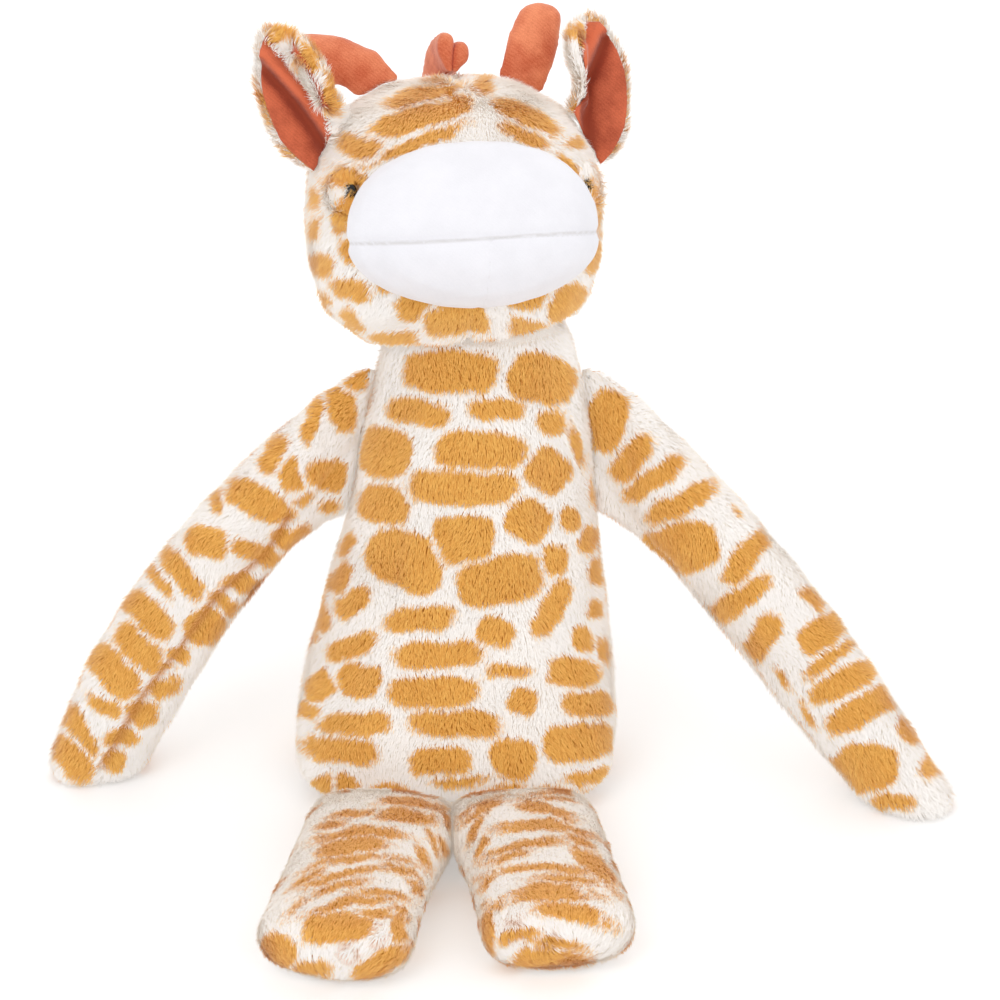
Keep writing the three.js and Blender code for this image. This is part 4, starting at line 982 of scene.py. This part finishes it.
long_enough = calculate(t, "GREATER_THAN", named("pile", "FLOAT"), 0.08)
scatter = put(
    t, "GeometryNodeDistributePointsOnFaces",
    {
        "Mesh": given["Geometry"],
        "Density": calculate(t, "MULTIPLY", given["Roots per square metre"], long_enough),
        "Seed": given["Seed"],
    },
    out="node", distribute_method="RANDOM",
)
toned = stored(scatter.outputs["Points"], "tone", chance(0.0, 1.0, 3), "FLOAT")
toned = stored(toned, "cloth_normal", scatter.outputs["Normal"], "FLOAT_VECTOR")
here = put(t, "GeometryNodeInputPosition")
tuft_middle = put(
    t, "ShaderNodeTexVoronoi",
    {"Vector": here, "Scale": calculate(t, "DIVIDE", 1.0, given["Tuft"])},
    out="Position", voronoi_dimensions="3D", feature="F1",
)
inward = calculate(t, "DIVIDE", given["Gather"], given["Length"])
gather = rescale(t, vectors(t, "SUBTRACT", tuft_middle, here), inward)
rise = rescale(t, scatter.outputs["Normal"], given["Rise"])
wild = rescale(t, random_value((-1, -1, -1), (1, 1, 1), given["Seed"], "FLOAT_VECTOR"), given["Wildness"])
swirl = vectors(t, "SUBTRACT", noise(t, here, 45.0, 1.0, out="Color"), (0.5, 0.5, 0.5))
direction = vectors(t, "ADD", rise, named("comb", "FLOAT_VECTOR"))
for pull in (gather, wild, rescale(t, swirl, 0.9)):
    direction = vectors(t, "ADD", direction, pull)
turn = put(
    t, "FunctionNodeAxesToRotation",
    {"Primary Axis": direction, "Secondary Axis": scatter.outputs["Normal"]},
    primary_axis="Z", secondary_axis="X",
)
length = calculate(t, "MULTIPLY", given["Length"], named("pile", "FLOAT"))
length = calculate(t, "MULTIPLY", length, chance(0.72, 1.1, 1))
width = calculate(t, "MULTIPLY", given["Width"], chance(0.7, 1.2, 2))
size = put(t, "ShaderNodeCombineXYZ", (length, width, length))
fibre = put(t, "GeometryNodeObjectInfo", {"Object": given["Fibre"]}, out="Geometry")
planted = put(
    t, "GeometryNodeInstanceOnPoints",
    {"Points": toned, "Instance": fibre, "Rotation": turn, "Scale": size},
)
for name in ("pile", "comb"):
    planted = put(t, "GeometryNodeRemoveAttribute", {"Geometry": planted, "Name": name})
grown = put(t, "GeometryNodeRealizeInstances", {"Geometry": planted})
parts = put(t, "ShaderNodeSeparateXYZ", {"Vector": put(t, "GeometryNodeInputPosition")}, out="node")
clear = put(
    t, "ShaderNodeCombineXYZ",
    (parts.outputs["X"], parts.outputs["Y"], calculate(t, "MAXIMUM", parts.outputs["Z"], FLOOR_GAP)),
)
grown = put(t, "GeometryNodeSetPosition", {"Geometry": grown, "Position": clear})
own = put(t, "GeometryNodeInputNormal", out="Normal")
soft = vectors(t, "ADD", rescale(t, named("cloth_normal", "FLOAT_VECTOR"), 2.2), own)
grown = put(
    t, "GeometryNodeSetMeshNormal",
    {"Mesh": grown, "Custom Normal": vectors(t, "NORMALIZE", soft)}, mode="FREE", domain="POINT",
)
grown = put(t, "GeometryNodeRemoveAttribute", {"Geometry": grown, "Name": "cloth_normal"})
grown = put(t, "GeometryNodeSetMaterial", {"Geometry": grown, "Material": given["Finish"]})
feed(t, give["Geometry"], grown)
print("the pile tree has", len(pile_tree.nodes), "nodes")

# %% [markdown]
# ## Colours
# The colours were read from the photograph under its even light. The print's edge wanders a little from fibre
# to fibre, and roots are darker than tips, partly for their own warmer tone and partly as painted shade deep in
# the pile. No two fibres have quite the same tone. Light goes from fibre to fibre in pale pile, which flat
# fibres can't show, so a faint glow of the print's own colour, painted light, stands for it.


# %% Colour helpers
def colour(red, green, blue):
    """A colour from 0 to 255, as it looks on a screen, in the linear values that shaders use."""
    linear = [c / 255 / 12.92 if c <= 10 else ((c / 255 + 0.055) / 1.055) ** 2.4 for c in (red, green, blue)]
    return (*linear, 1.0)


def mixed(tree, share, first, second):
    return put(tree, "ShaderNodeMix", (share, first, second), out="Result", data_type="RGBA")


def between(tree, value, low, high, first=0.0, second=1.0):
    return put(
        tree, "ShaderNodeMapRange",
        {"Value": value, "From Min": low, "From Max": high, "To Min": first, "To Max": second},
        interpolation_type="SMOOTHSTEP",
    )


def own_place(tree):
    return put(tree, "ShaderNodeTexCoord", out="Object")


print("colour helpers ready")

# %% The giraffe print group, with the pile's painted shade
giraffe_print, given, give, _ = open_tree(
    "giraffe_print", "ShaderNodeTree",
    {"Edge": ("Float", 0.0), "Tone": ("Float", 0.5), "Along": ("Float", 0.5), "Parted": ("Float", 0.0)},
    {"Colour": "Color"},
)
t = giraffe_print
here = own_place(t)
fray = calculate(t, "MULTIPLY", calculate(t, "SUBTRACT", noise(t, here, 420.0, 2.0), 0.5), 1.8)
spread = calculate(t, "MULTIPLY", calculate(t, "SUBTRACT", given["Tone"], 0.5), 1.1)
edge = calculate(t, "ADD", calculate(t, "ADD", given["Edge"], fray), spread)
inside = between(t, edge, -0.55, 0.75)
broad = calculate(t, "MULTIPLY", noise(t, here, 70.0, 3.0), 0.45)
tone = calculate(t, "ADD", calculate(t, "MULTIPLY", given["Tone"], 0.55), broad)
ochre = mixed(t, tone, colour(222, 154, 57), colour(252, 203, 106))
white = mixed(t, tone, colour(251, 247, 243), colour(255, 254, 253))
# Partly painted shade: roots are darker than tips, for their own warmer tone and for the shade deep in the
# pile.
root = mixed(t, inside, colour(252, 244, 234), colour(212, 142, 54))
dyed = mixed(t, inside, white, ochre)
# Painted shade: where the pile is parted, a darker root colour reaches further up each fibre, for the shade in
# the parting.
root = mixed(t, given["Parted"], root, colour(216, 148, 72))
root_reach = calculate(t, "MULTIPLY_ADD", given["Parted"], 0.7, 0.62)
feed(t, give["Colour"], mixed(t, between(t, given["Along"], 0.0, root_reach), root, dyed))
print("the print group has", len(t.nodes), "nodes")


# %% [markdown]
# Velour is cut so short that its fibres show only as a fine grain and as cloudy places, lighter and darker,
# where the nap lies one way or another. One group serves the terracotta and the white velour. It also adds
# painted light and shade, which the ear linings get along their folds.

# %% The nap group
nap, given, give, _ = open_tree(
    "nap", "ShaderNodeTree",
    {
        "Light": ("Color", colour(230, 130, 95)),
        "Dark": ("Color", colour(165, 70, 42)),
        "Cloud size": ("Float", 0.012),
        "Grain size": ("Float", 0.0006),
        "Rib": ("Float", 0.3),
        "Brushed": ("Float", 0.0),
    },
    {"Colour": "Color", "Height": "Float"},
)
t = nap
here = own_place(t)
clouds = noise(t, here, calculate(t, "DIVIDE", 1.0, given["Cloud size"]), 4.0, Roughness=0.62)
grain = noise(t, here, calculate(t, "DIVIDE", 1.0, given["Grain size"]), 2.0)
ribs = put(
    t, "ShaderNodeTexWave",
    {"Vector": here, "Scale": 260.0, "Distortion": 3.0, "Detail": 1.0, "Detail Scale": 2.0},
    out="Fac", wave_type="BANDS", bands_direction="DIAGONAL",
)
cloudy = between(t, clouds, 0.25, 0.75, 0.15, 0.85)
tone = calculate(t, "MULTIPLY_ADD", calculate(t, "SUBTRACT", grain, 0.5), 0.9, cloudy)
tone = calculate(t, "MULTIPLY_ADD", calculate(t, "SUBTRACT", ribs, 0.5), given["Rib"], tone)
# The fold's painted light and shade, which only the ear linings carry.
tone = calculate(t, "ADD", tone, given["Brushed"])
feed(t, give["Colour"], mixed(t, tone, given["Dark"], given["Light"]))
feed(t, give["Height"], calculate(t, "ADD", grain, calculate(t, "MULTIPLY", ribs, given["Rib"])))
print("the nap group has", len(t.nodes), "nodes")


# %% Start a material
def feed_all(tree, node, values):
    """Feeds a node's inputs, named with _ for each space."""
    for title, value in values.items():
        feed(tree, node.inputs[title.replace("_", " ")], value)


def new_material(name, **values):
    material = bpy.data.materials.new(name)
    material.use_nodes = True
    shader = material.node_tree.nodes["Principled BSDF"]
    feed_all(material.node_tree, shader, values)
    return material, material.node_tree, shader


def use_group(tree, group, **values):
    node = tree.nodes.new("ShaderNodeGroup")
    node.node_tree = group
    feed_all(tree, node, values)
    return node.outputs


def attribute(tree, name):
    return put(tree, "ShaderNodeAttribute", out="Fac", attribute_name=name)


def dye(tree, shader, base, height, strength, distance):
    """Gives a shader its colour and its bumps."""
    bump = {"Height": height, "Strength": strength, "Distance": distance}
    feed_all(tree, shader, {"Base Color": base, "Normal": put(tree, "ShaderNodeBump", bump, out="Normal")})


print("material helpers ready")

# %% The pile and the cloth under it
GLOW = 0.11
fibre_material, t, shader = new_material(
    "giraffe_pile", Roughness=0.85, Sheen_Weight=0.8, Sheen_Roughness=0.6, Sheen_Tint=colour(255, 240, 222),
    Specular_IOR_Level=0.25, Emission_Strength=GLOW,
)
edge, parted = attribute(t, "print_edge"), attribute(t, "parted")
printed_and_shaded = use_group(
    t, giraffe_print, Edge=edge, Tone=attribute(t, "tone"), Along=attribute(t, "along"), Parted=parted
)
feed_all(t, shader, {"Base Color": printed_and_shaded["Colour"], "Emission Color": printed_and_shaded["Colour"]})

cloth_material, t, shader = new_material("giraffe_cloth", Roughness=0.95)
fine = noise(t, own_place(t), 900.0, 2.0)
edge, parted = attribute(t, "print_edge"), attribute(t, "parted")
# The cloth between the fibres takes part of the roots' colour, and with it their painted shade.
printed_and_shaded = use_group(t, giraffe_print, Edge=edge, Tone=fine, Along=0.3, Parted=parted)
dye(t, shader, printed_and_shaded["Colour"], fine, 0.6, 0.0008)
print("made", fibre_material.name, "and", cloth_material.name)


# %% Velour, fibre fill, eyes and hard parts
def terracotta_velour(name, light, dark):
    material, tree, shader = new_material(name, Roughness=0.88, Sheen_Weight=0.3, Sheen_Roughness=0.4)
    # An ear lining's fold carries painted light and shade, and the horns and mane carry none.
    napped = use_group(
        tree, nap, Light=light, Dark=dark, Cloud_size=0.016, Grain_size=0.0004, Rib=0.12,
        Brushed=attribute(tree, "brushed"),
    )
    dye(tree, shader, napped["Colour"], napped["Height"], 0.35, 0.0003)
    return material


terracotta = terracotta_velour("terracotta_velour", colour(252, 158, 114), colour(198, 86, 50))
lining_velour = terracotta_velour("lining_velour", colour(222, 112, 74), colour(158, 64, 36))

white_velour, t, shader = new_material("white_velour", Roughness=0.9, Sheen_Weight=0.2)
napped = use_group(
    t, nap, Light=colour(246, 245, 250), Dark=colour(238, 237, 242), Cloud_size=0.02, Grain_size=0.0005,
    Rib=0.1,
)
# Painted shade: the muzzle is painted greyer along its seams, for the shade in their pressed grooves.
seam_shade = between(t, attribute(t, "seam"), 0.0, 1.3)
sewn = mixed(t, seam_shade, colour(222, 219, 220), napped["Colour"])
dye(t, shader, sewn, napped["Height"], 0.3, 0.0002)

fibre_fill_material, t, shader = new_material("fibre_fill", Roughness=1.0, Sheen_Weight=0.3)
wisps = noise(t, own_place(t), 260.0, 6.0, Distortion=1.6)
dye(t, shader, mixed(t, wisps, colour(232, 232, 228), colour(252, 252, 250)), wisps, 0.8, 0.001)

eye_gloss, t, shader = new_material(
    "eye_plastic", Coat_Weight=0.25, Coat_Roughness=0.03, Specular_IOR_Level=0.3
)
rubs = noise(t, own_place(t), 700.0, 4.0)
rubbed = mixed(t, rubs, colour(5, 4, 4), colour(11, 10, 9))
feed_all(t, shader, {"Base Color": rubbed, "Roughness": between(t, rubs, 0.4, 0.75, 0.05, 0.16)})


def moulded_plastic(name, pale, deep):
    material, tree, shader = new_material(name)
    clouded = noise(tree, own_place(tree), 140.0, 5.0)
    feed_all(tree, shader, {"Roughness": between(tree, clouded, 0.3, 0.7, 0.38, 0.58)})
    dye(tree, shader, mixed(tree, clouded, deep, pale), clouded, 0.15, 0.0002)
    return material


squeaker_plastic = moulded_plastic("squeaker_plastic", colour(240, 236, 222), colour(226, 219, 200))
washer_plastic = moulded_plastic("washer_plastic", colour(224, 224, 220), colour(206, 206, 202))
thread_material, t, shader = new_material("white_thread", Roughness=0.7, Sheen_Weight=0.2)
twist = put(
    t, "ShaderNodeTexWave", {"Vector": own_place(t), "Scale": 1500.0}, out="Fac", bands_direction="DIAGONAL"
)
feed_all(t, shader, {"Base Color": mixed(t, twist, colour(222, 220, 220), colour(248, 247, 248))})
print("made", len(bpy.data.materials), "materials")

# %% Give the skins and leaves their materials
set_attribute(skins["muzzle"], "seam", seam["muzzle"] * 1000)
LOOK = {"muzzle": white_velour, "horn": terracotta, "mane": terracotta, "lining": lining_velour}


def dress(obj, material):
    obj.data.materials.clear()
    obj.data.materials.append(material)
    for face in obj.data.polygons:
        face.material_index = 0
        face.use_smooth = True


for name, obj in cloths.items():
    dress(obj, next((LOOK[word] for word in name.split("_") if word in LOOK), cloth_material))
for fill in fills.values():
    dress(fill, fibre_fill_material)
for name, node in frame["nodes"].items():
    if name.startswith("squeaker"):
        dress(node, squeaker_plastic)
    if name.startswith("eye_washer"):
        dress(node, washer_plastic)
print("dressed", len(cloths) + len(fills), "pieces")

# %% [markdown]
# ## Grow the pile on each piece
# The body carries so much pile that it's grown in quarters, and the head's in halves. That keeps each piece
# light enough to export whole.

# %% Grow
piles = {}


def grow(name, base, seed, kind, keep=None, density=DENSITY):
    """Grows pile on the faces of a cloth whose middle passes a test."""
    bm = bmesh.new()
    bm.from_mesh(base.data)
    away = [face for face in bm.faces if keep and not keep(face.calc_center_median())]
    bmesh.ops.delete(bm, geom=away, context="FACES")
    obj = piles[name] = new_object(f"{name}_pile", mesh_from(bm, f"{name}_pile"))
    modifier = modify(obj, "NODES", node_group=pile_tree)
    length, rise = PILE[kind]
    values = {"Fibre": one_fibre, "Finish": fibre_material, "Seed": seed, "Length": length, "Rise": rise}
    for title, value in {**values, "Roots per square metre": density}.items():
        modifier[PILE_INPUTS[title]] = value
    keep_result(obj)
    print(obj.name, "has", len(obj.data.vertices) // 4, "fibres")


def quarter_of_body(front, left):
    def test(middle):
        back, aside = torso_middle(middle.z * 1000)
        return (middle.y * 1000 < back) == front and (middle.x * 1000 > aside) == left
    return test


def half_of_head(left):
    return lambda middle: (in_head(np.array([middle]))[0, 0] > 0) == left


def beside_eye(spot):
    """Faces on the outer side of an eye, where thick pile hangs over it."""
    def test(middle):
        away = (middle - Vector(spot)).length
        return 0.0045 < away < 0.011 and outer_side(np.array([middle]), spot)[0] > 0.6
    return test


for number, side in enumerate(("left", "right")):
    left, head = side == "left", skins["head"]
    grow(f"torso_front_{side}", skins["torso"], 1 + number, "torso", quarter_of_body(True, left))
    grow(f"torso_back_{side}", skins["torso"], 3 + number, "torso", quarter_of_body(False, left))
    grow(f"head_{side}", head, 5 + number, "head", half_of_head(left))
    grow(f"head_{side}_brow", head, 15 + number, "head", beside_eye(EYE_SPOTS[number]), density=1.3e7)
    grow(f"arm_{side}", skins[f"arm_{side}"], 7 + number, "arm")
    grow(f"leg_{side}", skins[f"leg_{side}"], 9 + number, "leg", density=4.4e6)
    grow(f"ear_{side}", leaves[f"ear_{side}_back"], 11 + number, "ear", density=5e6)
    grow(f"ear_{side}_edge", leaves[f"ear_{side}_lining"], 13 + number, "edge", density=5e6)
print("fibres in all:", sum(len(obj.data.vertices) // 4 for obj in piles.values()))

# %% [markdown]
# ## Eyes
# A safety eye is a glossy black dome on a shank. The washer behind the cloth gives its axis, so the dome is
# turned again round that axis, finely enough to be round.

# %% Turn the eyes
SHANK_RADIUS, SHANK_END, DOME_RADIUS, DOME_HEIGHT, RIM = 1.6, -10.3, 4.6, 3.1, 0.9  # in millimetres
EYE_PROFILE = [(0.0, SHANK_END), (SHANK_RADIUS, SHANK_END), (SHANK_RADIUS, 0.2), (DOME_RADIUS - 0.3, 0.2)]
EYE_PROFILE += [(DOME_RADIUS, 0.5), (DOME_RADIUS, RIM)]
for angle in range(10, 90, 8):
    a = math.radians(angle)
    EYE_PROFILE.append((DOME_RADIUS * math.cos(a), RIM + DOME_HEIGHT * math.sin(a)))
EYE_PROFILE.append((0.0, RIM + DOME_HEIGHT))
EYE_SIDES = 40


def turned_eye(side):
    washer = points_of(frame["nodes"][f"eye_washer_{side}"])
    middle = washer.mean(0)
    axis = np.linalg.svd(washer - middle)[2][2]
    reach = (points_of(frame["nodes"][f"eye_{side}"]) - middle) @ axis
    if abs(reach.max()) < abs(reach.min()):
        axis, reach = -axis, -reach
    base = middle + axis * (reach.max() - 0.004)
    across = unit(np.cross(axis, [0, 0, 1.0]))
    over = np.cross(axis, across)
    bm = bmesh.new()
    rings = []
    for radius, height in EYE_PROFILE:
        ring = []
        for a in np.arange(EYE_SIDES) * math.tau / EYE_SIDES:
            out = across * math.cos(a) + over * math.sin(a)
            ring.append(bm.verts.new(base + (out * radius + axis * height) / 1000))
        rings.append(ring)
    for low, high in zip(rings, rings[1:]):
        for k in range(EYE_SIDES):
            bm.faces.new((low[k - 1], low[k], high[k], high[k - 1]))
    bmesh.ops.remove_doubles(bm, verts=bm.verts, dist=1e-7)
    bmesh.ops.recalc_face_normals(bm, faces=bm.faces)
    obj = new_object(f"eye_{side}_dome", mesh_from(bm, f"eye_{side}_dome"))
    dress(obj, eye_gloss)
    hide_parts(f"eye_{side}")
    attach(obj, "head")
    return obj


eyes = [turned_eye(side) for side in ("left", "right")]
print("eyes have", [len(eye.data.polygons) for eye in eyes], "faces")

# %% [markdown]
# ## Stitches round the muzzle
# The muzzle's seam is topstitched with fine white thread. The seam is found by casting rays from inside the
# muzzle, and a Geometry Nodes tree lays one small stitch after another along it.

# %% Find the muzzle's seam
seam_points = []
IN_MUZZLE = (0, -66, MUZZLE_SEAM)  # a place in its middle, in the head's own frame, in millimetres
start = HEAD_MIDDLE + HEAD_AXES.T @ IN_MUZZLE
for a in np.linspace(math.radians(-86), math.radians(86), 120):
    way = HEAD_AXES.T @ np.array([math.sin(a), -math.cos(a), 0.0])
    hit = trees["muzzle"].ray_cast(Vector(start / 1000), Vector(way), 0.2)
    if hit[0] is None:
        continue
    cheek, out, _, away = trees["head"].find_nearest(hit[0])
    if away > 0.004 and (hit[0] - cheek).dot(out) > 0:
        seam_points.append(hit[0] + hit[1] * 0.0001)
curve = bpy.data.curves.new("muzzle_stitches", "CURVE")
curve.dimensions = "3D"
spline = curve.splines.new("POLY")
spline.points.add(len(seam_points) - 1)
for point, at in zip(spline.points, seam_points):
    point.co = (*at, 1)
seam_length = sum((b - a).length for a, b in zip(seam_points, seam_points[1:]))
print("the seam is", round(seam_length * 1000), "mm long")

# %% Lay the stitches
stitch_tree, given, give, STITCH_INPUTS = open_tree(
    "stitches", "GeometryNodeTree",
    {
        "Geometry": ("Geometry", None),
        "Thread": ("Material", None),
        "Spacing": ("Float", 0.0026),
        "Stitch length": ("Float", 0.0017),
        "Thread thickness": ("Float", 0.00026),
    },
    {"Geometry": "Geometry"},
)
t = stitch_tree
spaced = {"Curve": given["Geometry"], "Length": given["Spacing"]}
even = put(t, "GeometryNodeResampleCurve", spaced, out="Curve", mode="LENGTH")
bead = put(t, "GeometryNodeMeshUVSphere", {"Segments": 8, "Rings": 6, "Radius": 0.5}, out="Mesh")
aim = put(t, "FunctionNodeAlignRotationToVector", {"Vector": put(t, "GeometryNodeInputTangent")}, axis="X")
thick = given["Thread thickness"]
size = put(t, "ShaderNodeCombineXYZ", (given["Stitch length"], thick, thick))
laid = put(
    t, "GeometryNodeInstanceOnPoints", {"Points": even, "Instance": bead, "Rotation": aim, "Scale": size}
)
laid = put(t, "GeometryNodeRealizeInstances", {"Geometry": laid})
laid = put(t, "GeometryNodeSetMaterial", {"Geometry": laid, "Material": given["Thread"]})
feed(t, give["Geometry"], laid)

stitch_line = new_object("muzzle_stitches", curve)
modifier = modify(stitch_line, "NODES", node_group=stitch_tree)
modifier[STITCH_INPUTS["Thread"]] = thread_material
evaluated = stitch_line.evaluated_get(bpy.context.evaluated_depsgraph_get())
stitch_mesh = bpy.data.meshes.new_from_object(evaluated)
bpy.data.objects.remove(stitch_line)
stitches = new_object("muzzle_stitches", stitch_mesh)
for face in stitch_mesh.polygons:
    face.use_smooth = True
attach(stitches, "head")
print("stitches:", len(stitch_mesh.polygons) // 48)

# %% [markdown]
# ## What rides on what
# The skins, fills and pile of the body, head, muzzle and horns ride on the imported model's bodies. Those of
# the arms and legs stay where they are. At a shoulder or a hip the cloth is one with the body.

# %% Ride, and hide the imported pieces
for name, skin in skins.items():
    kind = name.split("_")[0]
    panels = [n for n in frame["nodes"] if n.startswith(name) and n.endswith("panel")]
    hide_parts(*panels)
    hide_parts(f"{name}_stuffing")
    moving = [skin, fills[name]] + [pile for key, pile in piles.items() if key.startswith(name)]
    for obj in moving:
        if kind in ("arm", "leg"):
            seam_at, next_at = np.array(SPINES[name][:2]) / 1000
            out = unit(next_at - seam_at)
            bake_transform(obj)
        else:
            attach(obj, "head" if kind == "muzzle" else name)
for side in ("left", "right"):
    for part in ("lining", "back"):
        leaf = leaves[f"ear_{side}_{part}"]
        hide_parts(f"ear_{side}_{part}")
        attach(leaf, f"ear_{side}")
    for pile in (piles[f"ear_{side}"], piles[f"ear_{side}_edge"]):
        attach(pile, f"ear_{side}")
    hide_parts(f"mane_{side}_panel")
    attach(leaves[f"mane_{side}"], "head")

# %% [markdown]
# ## Floor and light
# The photograph has a plain white ground and soft light from all round, a little stronger from above. The
# full white is shown only to the camera and to reflections, and a dimmer one lights the toy.

# %% Floor
floor = new_object("floor", bpy.data.meshes.new("floor"))
floor.data.from_pydata([(-6, -6, 0), (6, -6, 0), (6, 6, 0), (-6, 6, 0)], [], [(0, 1, 2, 3)])
floor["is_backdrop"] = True
floor_material, t, shader = new_material(
    "pale_floor", Roughness=0.9, Base_Color=colour(244, 244, 244), Emission_Color=(1, 1, 1, 1)
)
seen = put(t, "ShaderNodeLightPath", out="Is Camera Ray")
feed_all(t, shader, {"Emission_Strength": calculate(t, "MULTIPLY", seen, 0.22)})
floor.data.materials.append(floor_material)

# %% World and lamps
world = bpy.data.worlds.new("studio")
scene.world = world
world.use_nodes = True
t = world.node_tree
t.nodes.clear()
path = put(t, "ShaderNodeLightPath", out="node")
seen = calculate(t, "MAXIMUM", path.outputs["Is Camera Ray"], path.outputs["Is Glossy Ray"])
seen = calculate(t, "MAXIMUM", seen, path.outputs["Is Transmission Ray"])
whites = [put(t, "ShaderNodeBackground", ((1, 1, 1, 1), power), out="Background") for power in (0.92, 1.0)]
shown = put(t, "ShaderNodeMixShader", (seen, *whites), out="Shader")
put(t, "ShaderNodeOutputWorld", {"Surface": shown}, out="node")


def soft_lamp(name, place, size, power):
    light = bpy.data.lights.new(name, "AREA")
    light.shape = "DISK"
    light.size = size
    light.energy = power
    lamp = new_object(name, light)
    lamp.location = place
    lamp.rotation_euler = (Vector((0, 0.02, 0.15)) - Vector(place)).to_track_quat("-Z", "Y").to_euler()


soft_lamp("key", (-0.9, -1.3, 1.9), 1.3, 6)
soft_lamp("fill", (1.3, -1.2, 1.1), 1.5, 3)
soft_lamp("back", (0.2, 1.6, 1.5), 1.4, 3)
scene.view_settings.view_transform = "Standard"
print("lamps:", [light.name for light in bpy.data.lights])

# %% [markdown]
# ## Size
# The pile may stand a little proud of the imported model's box. The toy's own box is printed.

# %% Print the sizes
visual_box = [list(corner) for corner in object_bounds()]
for low, high, axis in zip(visual_box[0], visual_box[1], "xyz"):
    print(axis, "from", round(low * 1000, 1), "to", round(high * 1000, 1), "mm")
